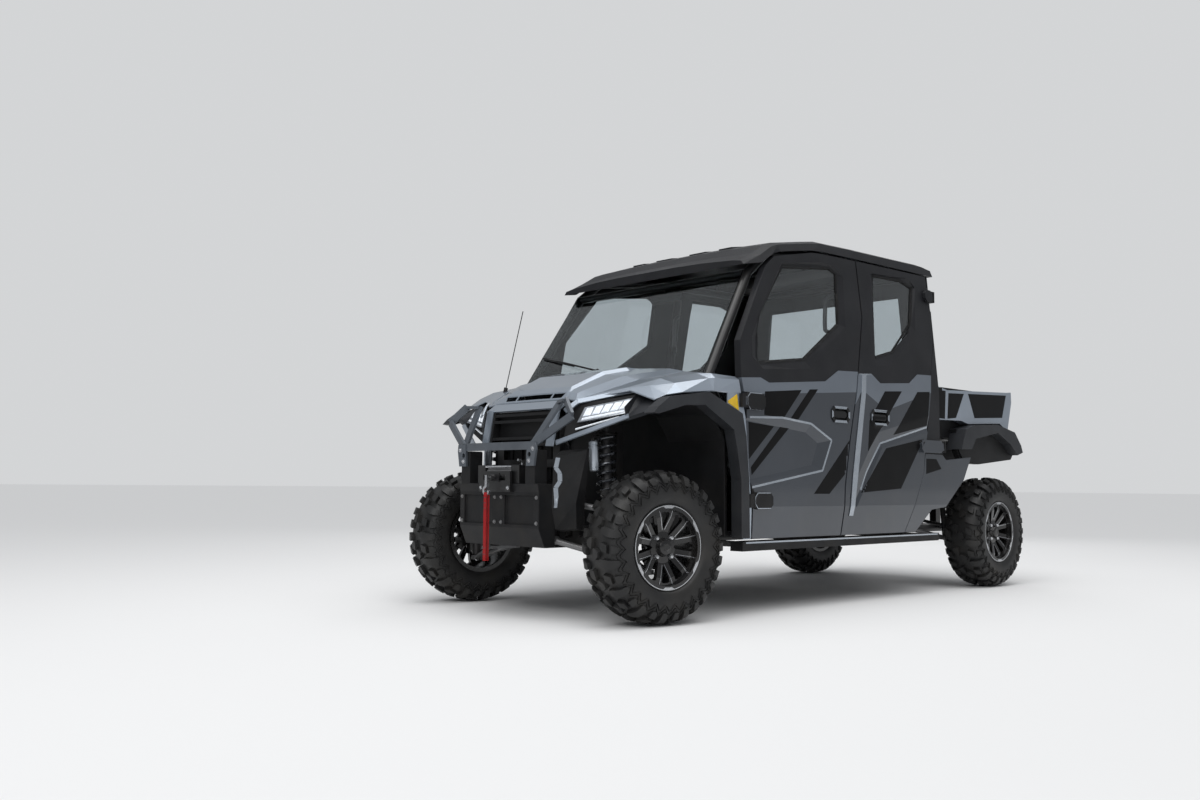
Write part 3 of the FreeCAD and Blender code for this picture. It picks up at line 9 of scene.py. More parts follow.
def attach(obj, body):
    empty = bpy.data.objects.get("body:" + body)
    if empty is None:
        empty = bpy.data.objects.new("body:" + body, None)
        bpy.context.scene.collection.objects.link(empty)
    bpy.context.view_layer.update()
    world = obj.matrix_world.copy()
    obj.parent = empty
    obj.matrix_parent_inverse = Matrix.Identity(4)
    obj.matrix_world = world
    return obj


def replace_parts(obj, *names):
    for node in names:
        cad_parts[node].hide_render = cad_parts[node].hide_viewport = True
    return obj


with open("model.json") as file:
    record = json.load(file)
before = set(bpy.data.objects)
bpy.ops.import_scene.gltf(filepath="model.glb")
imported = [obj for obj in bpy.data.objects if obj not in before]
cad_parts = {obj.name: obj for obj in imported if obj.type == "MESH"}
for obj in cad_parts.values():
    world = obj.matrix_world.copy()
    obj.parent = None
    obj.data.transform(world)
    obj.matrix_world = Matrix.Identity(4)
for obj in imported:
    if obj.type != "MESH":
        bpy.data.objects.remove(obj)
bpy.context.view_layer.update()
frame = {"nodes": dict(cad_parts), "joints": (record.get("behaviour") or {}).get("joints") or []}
nodes = frame["nodes"]
joints = {joint["name"]: joint for joint in frame["joints"]}
SIDES = (("left", 1), ("right", -1))
ENDS = ("front", "rear")
CORNERS = [(end, word, side) for end in ENDS for word, side in SIDES]
MM = 0.001


# Camera, at the height of a bumper, ahead of the left front wheel
CAMERA_PLACE = (5.277, 4.234, 0.635)
CAMERA_YAW, CAMERA_PITCH, CAMERA_ROLL = -133.676, 4.429, 0.479
CAMERA_LENS, CAMERA_SENSOR = 33.07, 36.0


def make_camera():
    yaw, pitch, roll = (math.radians(angle) for angle in (CAMERA_YAW, CAMERA_PITCH, CAMERA_ROLL))
    ahead = Vector((math.cos(pitch) * math.cos(yaw), math.cos(pitch) * math.sin(yaw), math.sin(pitch)))
    level = ahead.cross(Vector((0, 0, 1))).normalized()
    upright = level.cross(ahead)
    right = level * math.cos(roll) + upright * math.sin(roll)
    up = upright * math.cos(roll) - level * math.sin(roll)
    lens = bpy.data.cameras.new("photo_camera")
    lens.lens = CAMERA_LENS
    lens.sensor_width = CAMERA_SENSOR
    camera = bpy.data.objects.new("photo_camera", lens)
    bpy.context.scene.collection.objects.link(camera)
    turn = Matrix((right, up, -ahead)).transposed().to_4x4()
    camera.matrix_world = Matrix.Translation(CAMERA_PLACE) @ turn
    bpy.context.scene.camera = camera


make_camera()


# Shader groups shared by the finishes
def new_group(name, inputs, outputs):
    group = bpy.data.node_groups.new(name, "ShaderNodeTree")
    for label, kind, value in inputs:
        socket = group.interface.new_socket(label, in_out="INPUT", socket_type=kind)
        socket.default_value = value
    for label, kind in outputs:
        group.interface.new_socket(label, in_out="OUTPUT", socket_type=kind)
    return group, group.nodes.new("NodeGroupInput"), group.nodes.new("NodeGroupOutput")


def feed(tree, value, socket):
    """Gives a socket a plain number, or links it to another node's output."""
    if isinstance(value, (int, float)):
        socket.default_value = value
    else:
        tree.links.new(value, socket)


def noise_at(tree, vector, scale, detail):
    noise = tree.nodes.new("ShaderNodeTexNoise")
    for name, value in (("Vector", vector), ("Scale", scale), ("Detail", detail)):
        feed(tree, value, noise.inputs[name])
    return noise.outputs["Fac"]


def math_node(tree, operation, first, second):
    node = tree.nodes.new("ShaderNodeMath")
    node.operation = operation
    feed(tree, first, node.inputs[0])
    feed(tree, second, node.inputs[1])
    return node.outputs[0]


def mapped(tree, value, low, high, out_low, out_high):
    node = tree.nodes.new("ShaderNodeMapRange")
    given = {"Value": value, "From Min": low, "From Max": high, "To Min": out_low, "To Max": out_high}
    for name, number in given.items():
        feed(tree, number, node.inputs[name])
    return node.outputs["Result"]


# Where a Mix node keeps its colours
COLOUR_A, COLOUR_B, MIXED_COLOUR = 6, 7, 2


def mixed(tree, factor, first, second):
    node = tree.nodes.new("ShaderNodeMix")
    node.data_type = "RGBA"
    for value, socket in ((factor, "Factor"), (first, COLOUR_A), (second, COLOUR_B)):
        tree.links.new(value, node.inputs[socket])
    return node.outputs[MIXED_COLOUR]


def make_tone_group():
    """Slow colour variation between two tones."""
    group, entry, leave = new_group("tone_variation", (
        ("Color", "NodeSocketColor", (0.5, 0.5, 0.5, 1)), ("Second", "NodeSocketColor", (0.4, 0.4, 0.4, 1)),
        ("Scale", "NodeSocketFloat", 3.0)), (("Color", "NodeSocketColor"),))
    place = group.nodes.new("ShaderNodeTexCoord").outputs["Object"]
    clouds = noise_at(group, place, entry.outputs["Scale"], 4)
    share = mapped(group, clouds, 0.35, 0.65, 0, 1)
    tone = mixed(group, share, entry.outputs["Color"], entry.outputs["Second"])
    group.links.new(tone, leave.inputs["Color"])
    return group


def make_grain_group():
    """Moulded grain: fine cells over a fainter ripple."""
    group, entry, leave = new_group("moulded_grain", (("Scale", "NodeSocketFloat", 900.0),),
                                    (("Height", "NodeSocketFloat"),))
    place = group.nodes.new("ShaderNodeTexCoord").outputs["Object"]
    cells = group.nodes.new("ShaderNodeTexVoronoi")
    group.links.new(place, cells.inputs["Vector"])
    group.links.new(entry.outputs["Scale"], cells.inputs["Scale"])
    ripple = noise_at(group, place, math_node(group, "MULTIPLY", entry.outputs["Scale"], 0.3), 2)
    height = math_node(group, "ADD", cells.outputs["Distance"], ripple)
    group.links.new(height, leave.inputs["Height"])
    return group


def make_dust_group():
    """Dust in patches, more of it low down on the vehicle."""
    group, entry, leave = new_group("settled_dust", (
        ("Color", "NodeSocketColor", (0.5, 0.5, 0.5, 1)), ("Dust", "NodeSocketColor", (0.36, 0.31, 0.24, 1)),
        ("Amount", "NodeSocketFloat", 0.2), ("Roughness", "NodeSocketFloat", 0.5)),
        (("Color", "NodeSocketColor"), ("Roughness", "NodeSocketFloat")))
    place = group.nodes.new("ShaderNodeTexCoord").outputs["Object"]
    height = group.nodes.new("ShaderNodeSeparateXYZ")
    group.links.new(place, height.inputs[0])
    low = mapped(group, height.outputs["Z"], 0.1, 0.9, 1.0, 0.25)
    clouds = mapped(group, noise_at(group, place, 7, 6), 0.42, 0.68, 0, 1)
    mask = math_node(group, "MULTIPLY", math_node(group, "MULTIPLY", low, clouds), entry.outputs["Amount"])
    dusted = mixed(group, mask, entry.outputs["Color"], entry.outputs["Dust"])
    group.links.new(dusted, leave.inputs["Color"])
    rough = math_node(group, "ADD", entry.outputs["Roughness"], math_node(group, "MULTIPLY", mask, 0.3))
    group.links.new(rough, leave.inputs["Roughness"])
    return group


TONE = make_tone_group()
GRAIN = make_grain_group()
DUST = make_dust_group()

# Finishes: colour, second tone, scale of its patches, roughness, metallic, coat, grain, its height, dust
FINISHES = {
    "slate_metallic": ((0.056, 0.064, 0.078), (0.048, 0.055, 0.067),
                       2.0, 0.32, 0.50, 0.7, 2600, 0.00002, 0.03),
    # The doors' slate paint made lighter, a painted highlight on the belt-line ledge
    "ledge_metallic": ((0.185, 0.212, 0.250), (0.160, 0.184, 0.218),
                       2.0, 0.32, 0.50, 0.7, 2600, 0.00002, 0.03),
    "silver_metallic": ((0.36, 0.41, 0.48), (0.31, 0.36, 0.42), 2.0, 0.28, 0.55, 0.9, 2600, 0.00002, 0.03),
    "graphic_black": ((0.004, 0.004, 0.0045), (0.006, 0.006, 0.0065),
                      6.0, 0.34, 0.0, 0.0, 1800, 0.00001, 0.01),
    "moulded_black": ((0.007, 0.0072, 0.008), (0.011, 0.0113, 0.0125),
                      9.0, 0.52, 0.0, 0.0, 700, 0.00018, 0.03),
    "moulded_charcoal": ((0.011, 0.0115, 0.0135), (0.016, 0.0165, 0.019),
                         5.0, 0.46, 0.0, 0.0, 800, 0.00014, 0.02),
    "flare_grey": ((0.030, 0.032, 0.036), (0.023, 0.0245, 0.028), 6.0, 0.46, 0.0, 0.0, 800, 0.00014, 0.03),
    "frame_black": ((0.006, 0.006, 0.0065), (0.010, 0.010, 0.011), 12.0, 0.38, 0.0, 0.15, 500, 0.00008, 0.06),
    "guard_grey": ((0.115, 0.130, 0.150), (0.088, 0.100, 0.117), 8.0, 0.42, 0.45, 0.2, 1200, 0.00006, 0.04),
    "arm_grey": ((0.22, 0.22, 0.225), (0.17, 0.17, 0.175), 14.0, 0.40, 0.55, 0.0, 600, 0.00008, 0.16),
    "spring_black": ((0.055, 0.060, 0.070), (0.040, 0.044, 0.052), 14.0, 0.22, 0.60, 0.6, 600, 0.00003, 0.03),
    "machined": ((0.58, 0.59, 0.61), (0.48, 0.49, 0.51), 20.0, 0.26, 0.95, 0.0, 1500, 0.00002, 0.03),
    "rim_black": ((0.004, 0.004, 0.0045), (0.006, 0.006, 0.0065), 9.0, 0.26, 0.0, 0.25, 1500, 0.00001, 0.02),
    "rubber": ((0.0085, 0.0085, 0.0088), (0.013, 0.013, 0.0133), 11.0, 0.50, 0.0, 0.0, 420, 0.00025, 0.035),
    "seal_rubber": ((0.007, 0.007, 0.007), (0.010, 0.010, 0.010), 11.0, 0.60, 0.0, 0.0, 600, 0.00010, 0.02),
    "seat_cover": ((0.016, 0.0165, 0.018), (0.022, 0.0225, 0.025), 8.0, 0.60, 0.0, 0.0, 520, 0.00035, 0.02),
    "seat_panel": ((0.060, 0.062, 0.067), (0.050, 0.052, 0.056), 8.0, 0.66, 0.0, 0.0, 640, 0.00030, 0.02),
    "lamp_clear": ((0.42, 0.45, 0.49), (0.30, 0.32, 0.35), 40.0, 0.10, 0.3, 1.0, 260, 0.00012, 0.0),
    # White headlight cells; their faint glow, set in make_finish, is a painted highlight
    "led_white": ((0.80, 0.84, 0.90), (0.62, 0.66, 0.72), 90.0, 0.10, 0.0, 1.0, 300, 0.00010, 0.0),
    "lamp_red": ((0.36, 0.010, 0.008), (0.28, 0.008, 0.006), 40.0, 0.14, 0.0, 1.0, 260, 0.00012, 0.0),
    "cast_metal": ((0.050, 0.050, 0.053), (0.036, 0.036, 0.039), 16.0, 0.50, 0.6, 0.0, 300, 0.0003, 0.10),
    "red_webbing": ((0.34, 0.008, 0.010), (0.27, 0.006, 0.008), 30.0, 0.70, 0.0, 0.0, 900, 0.0004, 0.03),
    "reflector_yellow": ((0.78, 0.50, 0.015), (0.70, 0.44, 0.012), 60.0, 0.25, 0.0, 0.6, 420, 0.0003, 0.0),
    # Lighter metal: painted highlights on the doors' bevels, handle rims, hinge covers' edges and the
    # rocker's top; on the shock reservoirs, their own bright metal
    "bright_trim": ((0.42, 0.46, 0.51), (0.37, 0.41, 0.46), 10.0, 0.26, 0.6, 0.6, 2000, 0.00001, 0.02),
}

# How much some finishes reflect head-on; the others take the coated or the bare share
SHEEN = {"graphic_black": 0.10, "rubber": 0.45, "seat_cover": 0.35}
COATED_SHEEN, BARE_SHEEN = 0.5, 0.25
COAT_ROUGHNESS = 0.06
# A faint glow on the headlights' white cells, which paints their highlights
LED_PAINTED_HIGHLIGHT, LED_PAINTED_HIGHLIGHT_STRENGTH = (0.90, 0.95, 1.0, 1), 0.30
GLASS_TINT, SECOND_TINT, GLASS_IOR = (0.72, 0.77, 0.79), 0.96, 1.45


def set_inputs(node, values):
    """Plain values on a node's own sockets."""
    for name, value in values.items():
        node.inputs[name].default_value = value


def new_material(name):
    material = bpy.data.materials.new(name)
    material.use_nodes = True
    return material, material.node_tree, material.node_tree.nodes["Principled BSDF"]


def place_group(tree, group, values):
    """A shared group in a material, with that material's own values."""
    node = tree.nodes.new("ShaderNodeGroup")
    node.node_tree = group
    set_inputs(node, values)
    return node


def make_finish(name, row):
    """A Principled surface whose colour, roughness and fine relief come from the shared groups."""
    colour, second, patches, roughness, metallic, coat, grain, relief, dust = row
    material, tree, shader = new_material(name)
    sheen = SHEEN.get(name, COATED_SHEEN if coat or metallic else BARE_SHEEN)
    set_inputs(shader, {"Metallic": metallic, "Coat Weight": coat, "Coat Roughness": COAT_ROUGHNESS,
                        "Specular IOR Level": sheen})
    # The headlights' cells glow faintly: a painted highlight
    if name == "led_white":
        set_inputs(shader, {"Emission Color": LED_PAINTED_HIGHLIGHT, "Emission Strength": LED_PAINTED_HIGHLIGHT_STRENGTH})
    tone = place_group(tree, TONE, {"Color": (*colour, 1), "Second": (*second, 1), "Scale": patches})
    settled = place_group(tree, DUST, {"Amount": dust, "Roughness": roughness})
    tree.links.new(tone.outputs["Color"], settled.inputs["Color"])
    tree.links.new(settled.outputs["Color"], shader.inputs["Base Color"])
    tree.links.new(settled.outputs["Roughness"], shader.inputs["Roughness"])
    cells = place_group(tree, GRAIN, {"Scale": grain})
    bump = tree.nodes.new("ShaderNodeBump")
    set_inputs(bump, {"Distance": relief, "Strength": 1.0})
    tree.links.new(cells.outputs["Height"], bump.inputs["Height"])
    tree.links.new(bump.outputs["Normal"], shader.inputs["Normal"])
    return material


def make_glazing():
    """Clear glass with a faint grey tint."""
    material, tree, shader = new_material("glazing")
    set_inputs(shader, {"Transmission Weight": 1.0, "IOR": GLASS_IOR, "Roughness": 0.0})
    second = [share * SECOND_TINT for share in GLASS_TINT]
    tone = place_group(tree, TONE, {"Color": (*GLASS_TINT, 1), "Second": (*second, 1), "Scale": 1.5})
    tree.links.new(tone.outputs["Color"], shader.inputs["Base Color"])
    return material


finish = {name: make_finish(name, row) for name, row in FINISHES.items()}
finish["glazing"] = make_glazing()


# Meshes
def link_mesh(name, bm, material, body, smooth_angle=35):
    """Turns a bmesh into a piece that rides on a body."""
    mesh = bpy.data.meshes.new(name)
    bmesh.ops.recalc_face_normals(bm, faces=bm.faces)
    bm.to_mesh(mesh)
    bm.free()
    for polygon in mesh.polygons:
        polygon.use_smooth = True
    mesh.set_sharp_from_angle(angle=math.radians(smooth_angle))
    mesh.materials.append(finish[material])
    piece = bpy.data.objects.new(name, mesh)
    bpy.context.scene.collection.objects.link(piece)
    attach(piece, body)
    return piece


def in_metres(points):
    """Points given in mm, as vectors in metres."""
    return [Vector(point) * MM for point in points]


def join_rings(bm, low, high):
    """Faces between two rings of as many points."""
    for a, b, c, d in zip(low, low[1:] + low[:1], high[1:] + high[:1], high):
        bm.faces.new((a, b, c, d))


def add_prism(bm, low_ring, high_ring):
    """A closed solid between two rings of as many points."""
    low = [bm.verts.new(point) for point in low_ring]
    high = [bm.verts.new(point) for point in high_ring]
    bm.faces.new(list(reversed(low)))
    bm.faces.new(high)
    join_rings(bm, low, high)


def add_drawn(bm, ring, shift):
    """A closed solid between a ring and the same ring moved over."""
    add_prism(bm, ring, [point + Vector(shift) for point in ring])


def add_turned(bm, centre, axis, outline, steps, closed=False):
    """A solid of revolution: outline of (distance along the axis, radius)."""
    axis = Vector(axis).normalized()
    side = axis.orthogonal().normalized()
    other = axis.cross(side)
    rings = []
    for distance, radius in outline:
        ring = []
        for k in range(steps):
            angle = 2 * math.pi * k / steps
            way = side * math.cos(angle) + other * math.sin(angle)
            ring.append(bm.verts.new(Vector(centre) + axis * distance + way * radius))
        rings.append(ring)
    pairs = list(zip(rings, rings[1:]))
    if closed:
        pairs.append((rings[-1], rings[0]))
    else:
        bm.faces.new(list(reversed(rings[0])))
        bm.faces.new(rings[-1])
    for low, high in pairs:
        join_rings(bm, low, high)


def smooth_line(points, per_span):
    """Points on a Catmull-Rom curve through the given ones."""
    line = [Vector(point) for point in points]
    padded = [line[0] * 2 - line[1]] + line + [line[-1] * 2 - line[-2]]
    made = []
    for a, b, c, d in zip(padded, padded[1:], padded[2:], padded[3:]):
        for k in range(per_span):
            t = k / per_span
            made.append(0.5 * (b * 2 + (c - a) * t + (a * 2 - b * 5 + c * 4 - d) * t * t
                               + (b * 3 - a - c * 3 + d) * t * t * t))
    return made + [line[-1]]


def add_tube(bm, line, radius, steps):
    """A round bar along a line of points."""
    line = [Vector(point) for point in line]
    ahead = (line[1] - line[0]).normalized()
    side = ahead.orthogonal().normalized()
    rings = []
    for k, point in enumerate(line):
        before, after = line[max(k - 1, 0)], line[min(k + 1, len(line) - 1)]
        ahead = (after - before).normalized()
        side = (side - ahead * side.dot(ahead)).normalized()
        other = ahead.cross(side)
        rings.append([bm.verts.new(point + (side * math.cos(a) + other * math.sin(a)) * radius)
                      for a in (2 * math.pi * n / steps for n in range(steps))])
    for low, high in zip(rings, rings[1:]):
        join_rings(bm, low, high)
    bm.faces.new(list(reversed(rings[0])))
    bm.faces.new(rings[-1])


def skin_of(*objects):
    """A tree of the objects' faces, for finding points on their surface."""
    points, faces = [], []
    for thing in objects:
        start = len(points)
        points += [vertex.co.copy() for vertex in thing.data.vertices]
        faces += [[start + index for index in polygon.vertices] for polygon in thing.data.polygons]
    return BVHTree.FromPolygons(points, faces)


# How an outline is laid on a surface: its two axes, and the way the surface is looked at
WAYS = {"side": (0, 2, (0, -1, 0)), "front": (1, 2, (-1, 0, 0))}
# Size of a sheet's faces, from how far off the surface is looked for, and thickness as a share of the lift
GRID, REACH, SHEET_SHARE = 0.016, 4, 1.6


def panel(name, outlines, on, side, lift, material, body, way="side"):
    """Thin sheets laid on a surface; their outlines are in mm, drawn for the left side."""
    first, second, ray = WAYS[way]
    surface = skin_of(*(nodes[node] for node in on))
    ray = Vector(ray)
    if way == "side":
        ray *= side
    bm = bmesh.new()
    for outline in outlines:
        points = []
        for a, b in outline:
            point = Vector()
            point[first], point[second] = a * MM, b * MM
            if way != "side":
                point.y *= side
            points.append(point)
        bm.faces.new([bm.verts.new(point) for point in points])
    corners = [vertex.co.copy() for vertex in bm.verts]
    for index in (first, second):
        normal = Vector((index == 0, index == 1, index == 2))
        low, high = min(p[index] for p in corners), max(p[index] for p in corners)
        for k in range(1, int((high - low) / GRID) + 1):
            geometry = list(bm.verts) + list(bm.edges) + list(bm.faces)
            bmesh.ops.bisect_plane(bm, geom=geometry, plane_co=normal * (low + k * GRID), plane_no=normal)
    missed = []
    for vertex in bm.verts:
        hit = surface.ray_cast(vertex.co - ray * REACH, ray)[0]
        if hit is None:
            missed.append(vertex)
        else:
            vertex.co = hit - ray * lift
    bmesh.ops.delete(bm, geom=missed, context="VERTS")
    bmesh.ops.triangulate(bm, faces=bm.faces)
    rim = [edge for edge in bm.edges if edge.is_boundary]
    copied = bmesh.ops.duplicate(bm, geom=list(bm.verts) + list(bm.edges) + list(bm.faces))
    twins = copied["vert_map"]
    for vertex in [item for item in copied["geom"] if isinstance(item, bmesh.types.BMVert)]:
        vertex.co += ray * lift * SHEET_SHARE
    for edge in rim:
        a, b = edge.verts
        bm.faces.new((a, b, twins[b], twins[a]))
    return link_mesh(name, bm, material, body)


def band(points, width):
    """Outlines of a strip of that width along a line, one per span."""
    made = []
    for (x0, z0), (x1, z1) in zip(points, points[1:]):
        length = math.hypot(x1 - x0, z1 - z0)
        dx, dz = -(z1 - z0) / length * width / 2, (x1 - x0) / length * width / 2
        made.append(((x0 + dx, z0 + dz), (x1 + dx, z1 + dz), (x1 - dx, z1 - dz), (x0 - dx, z0 - dz)))
    return made


def inside(point, outline):
    """Whether a point lies in a polygon."""
    x, z = point
    found = False
    for (x0, z0), (x1, z1) in zip(outline, outline[1:] + outline[:1]):
        if (z0 > z) != (z1 > z) and x < (x1 - x0) * (z - z0) / (z1 - z0) + x0:
            found = not found
    return found


def four(kind):
    """The names of the nodes of one kind at the four corners."""
    return tuple("%s_%s_%s" % (end, word, kind) for end, word, _ in CORNERS)


# Finish and slot of each CAD node
NODE_FINISHES = (
    ("slate_metallic", "body_paint", (*four("door"), "quarter_panels")),
    ("silver_metallic", "body_paint", ("hood", "front_fenders", "front_fascia", "bed_side_panels")),
    ("moulded_charcoal", "roof_plastic", ("roof_panel", "cab_rear_panel", "cowl_panel")),
    ("flare_grey", "dark_plastic", ("front_flares", "rear_flares")),
    ("moulded_black", "dark_plastic", (
        "grille", "bumper_pods", "front_bumper", "rocker_panels", "wheel_well_liners", "floor_pan",
        "dashboard", "door_hinges", "seat_frames", "antenna", "wiper")),
    ("moulded_black", "bed_plastic", ("cargo_bed", "tailgate")),
    ("frame_black", "frame_black", ("chassis_frame", "cab_cage", "hitch_receiver")),
    ("guard_grey", "guard_grey", ("bumper_guard",)),
    ("arm_grey", "arm_steel", ("front_wishbones", "rear_wishbones", "shock_absorbers")),
    ("cast_metal", "machined_steel", ("front_left_knuckle", "front_right_knuckle", "steering_rack")),
    ("frame_black", "machined_steel", ("winch",)),
    ("machined", "machined_steel", ("winch_hook",)),
    ("cast_metal", "engine_metal", ("powertrain",)),
    ("rim_black", "rim_alloy", four("rim")),
    ("rubber", "tyre_rubber", four("tyre")),
    ("seat_cover", "seat_fabric", ("front_seats", "rear_seat", "steering_wheel")),
    ("lamp_clear", "lamp_lens", ("headlights",)),
    ("lamp_red", "tail_lens", ("tail_lights",)),
    ("red_webbing", "strap_red", ("recovery_strap",)),
    ("glazing", "glass", (*four("window"), "windscreen", "rear_window")),
)
# Nodes whose sharp edges are rounded, and the radius of the rounding
ROUNDED = (
    (0.0022, ("hood", "front_fenders", "front_fascia", "bumper_pods", "front_flares", "rear_flares",
              "roof_panel", "bed_side_panels", "rocker_panels", "quarter_panels", "tailgate", "cargo_bed",
              "dashboard", "front_bumper", "headlights", "winch", "seat_frames", "cab_rear_panel")),
    (0.0014, (*four("door"), "bumper_guard", "grille", "door_hinges", "cowl_panel", "chassis_frame",
              "winch_hook", "tail_lights")),
)


def dress_nodes():
    for finish_name, slot_name, members in NODE_FINISHES:
        for name in members:
            node = nodes[name]
            node.data.materials.clear()
            node.data.materials.append(finish[finish_name])
    for radius, members in ROUNDED:
        for name in members:
            weld = nodes[name].modifiers.new("closed_seams", "WELD")
            weld.merge_threshold = 0.00001
            edge = nodes[name].modifiers.new("rounded_edges", "BEVEL")
            edge.width = radius
            edge.segments = 2
            edge.limit_method = "ANGLE"
            edge.angle_limit = math.radians(28)
            edge.harden_normals = True


dress_nodes()

# Zones of the doors' skins, in (x, z) mm
BELTS = {
    "front": ((1012, 1175), (861, 1186), (794, 1164), (299, 1206), (167, 1275), (-24, 1283)),
    "rear": ((60, 1273), (-24, 1273), (-160, 1282), (-242, 1233), (-559, 1256), (-660, 1316), (-825, 1322)),
}
# Above this height, up to the belt line, a door's face is painted lighter: a painted highlight on the ledge
LEDGE = 1112
HANDLE_BOXES = {"front": (84, 256, 987, 1077), "rear": (-318, -132, 989, 1079)}
# Width of the bright rim round a handle's pocket, a painted highlight
HANDLE_EDGE = 12
HINGE_BOXES = ((838, 1006, 1008, 1110), (778, 950, 516, 614))
DOOR_OUTSIDE = 790
# The bright strip along the rear door's front edge, a painted highlight
RIB_OUTLINE = ((50, 470), (88, 470), (58, 696), (22, 884), (-56, 1275), (-98, 1275), (-28, 884), (8, 696))
# A door's own finish is its skin's, and these follow it
# The ledge's lighter paint is a painted highlight
DOOR_FINISHES = ("moulded_charcoal", "moulded_black", "bright_trim", "ledge_metallic")
# The bright edges of the handles' pockets and of the rear door's front strip are painted highlights
SKIN, WINDOW_FRAME, BLACK_PART, PAINTED_HIGHLIGHT_EDGE, LEDGE_HIGHLIGHT = range(5)


def belt_height(end, x):
    line = sorted(BELTS[end])
    for (x0, z0), (x1, z1) in zip(line, line[1:]):
        if x0 <= x <= x1:
            return z0 + (z1 - z0) * (x - x0) / (x1 - x0)
    return line[0][1] if x < line[0][0] else line[-1][1]


def door_zone(end, x, y, z, outward):
    """The finish of a door's face, from its centre in mm and how much it looks outwards."""
    x0, x1, z0, z1 = HANDLE_BOXES[end]
    # The face between the ledge height and the belt line takes a painted highlight
    zone = LEDGE_HIGHLIGHT if z > LEDGE + 4 else SKIN
    if z > belt_height(end, x) + 2:
        zone = WINDOW_FRAME
    if outward < -0.3:
        zone = BLACK_PART
    if x0 - 3 < x < x1 + 3 and z0 - 3 < z < z1 + 3:
        zone = BLACK_PART
        # The outward rim of a handle's pocket is a painted highlight
        if min(x - x0, x1 - x, z - z0, z1 - z) < HANDLE_EDGE and outward > 0.5:
            zone = PAINTED_HIGHLIGHT_EDGE
    if end == "rear":
        # The rear door's front strip is a painted highlight
        if zone in (SKIN, LEDGE_HIGHLIGHT) and inside((x, z), RIB_OUTLINE) and outward > 0.2:
            zone = PAINTED_HIGHLIGHT_EDGE
    elif any(a < x < b and c < z < d and abs(y) > DOOR_OUTSIDE for a, b, c, d in HINGE_BOXES):
        zone = BLACK_PART
    return zone


def dress_doors():
    for end, word, side in CORNERS:
        mesh = nodes["%s_%s_door" % (end, word)].data
        for material in DOOR_FINISHES:
            mesh.materials.append(finish[material])
        for polygon in mesh.polygons:
            x, y, z = (value / MM for value in polygon.center)
            polygon.material_index = door_zone(end, x, y, z, polygon.normal.y * side)


dress_doors()

# Where the hook's bright metal starts; the fairlead plate and the rope's stopper lie behind it
HOOK_START = 1.967


def dress_hook():
    """The fairlead plate and the rope's stopper are black, the hook stays bright."""
    mesh = nodes["winch_hook"].data
    mesh.materials.append(finish["frame_black"])
    for polygon in mesh.polygons:
        if polygon.center.x < HOOK_START:
            polygon.material_index = 1


dress_hook()


# Wheels, drawn about the hub with y pointing outboard
def wheel_place(end, word, side):
    joint = joints["%s_%s_wheel_spin" % (end, word)]
    outboard = Vector(joint["axis"]).normalized() * side
    up = Vector((0, 0, 1))
    turn = Matrix((outboard.cross(up), outboard, up)).transposed().to_4x4()
    return Matrix.Translation(joint["pos_m"]) @ turn


# y and radius of the carcass from the middle of the tread to the bead, and of the bead's inner edge
CARCASS = (
    (0.0, 0.334), (0.040, 0.333), (0.074, 0.328), (0.097, 0.317), (0.112, 0.298), (0.1205, 0.270),
    (0.1205, 0.235), (0.114, 0.210), (0.103, 0.198), (0.097, 0.196),
)
BEAD = (0.097, 0.187)
# Radius at which distances around the tyre are measured, and how often the pattern repeats there
PITCH_RADIUS = 0.35
PITCHES = 15
# Columns of each lug: place along the section, start and end around the tyre, in mm; then its height
LUGS = (
    (((3, -42, 12), (20, -38, 16), (32, -30, 6), (42, -24, 2)), 20),
    (((50, -70, -34), (68, -66, -22), (88, -58, -16)), 19),
    (((46, 10, 40), (66, 6, 50), (86, 10, 56), (104, 14, 58), (122, 16, 54), (134, 20, 48)), 19),
    (((98, -56, -14), (114, -54, -12), (132, -46, -20)), 18),
)
# A lug leans in by this much at its top, and its foot lies this deep in the carcass
LUG_LEAN, LUG_ROOT = 2.5, -3
# From where along the section lugs get lower, over what length, and by what share
FADE_START, FADE_LENGTH, LUG_FADE = 92, 60, 0.75
CHEVRONS = ((118, 152, 3, 70), (136, 170, 3, 70))
CHEVRON_HALF_WIDTH, CHEVRON_HEIGHT = 4, 6.5


def section_points():
    """The carcass as a smooth line with its length so far."""
    line = smooth_line([(y, r, 0) for y, r in CARCASS], 6)
    travelled, made = 0.0, []
    for k, point in enumerate(line):
        if k:
            travelled += (point - line[k - 1]).length
        made.append((travelled, point))
    return made


SECTION = section_points()


def on_carcass(t, lift):
    """y and radius at a distance along the section, that far off its surface."""
    t = max(t, 0.0)
    for (t0, p0), (t1, p1) in zip(SECTION, SECTION[1:]):
        if t <= t1:
            point = p0.lerp(p1, (t - t0) / (t1 - t0))
            way = (p1 - p0).normalized()
            return point.x - way.y * lift, point.y + way.x * lift
    return SECTION[-1][1].x, SECTION[-1][1].y


def around(y, radius, arc):
    angle = arc / PITCH_RADIUS
    return Vector((radius * math.sin(angle), y, radius * math.cos(angle)))


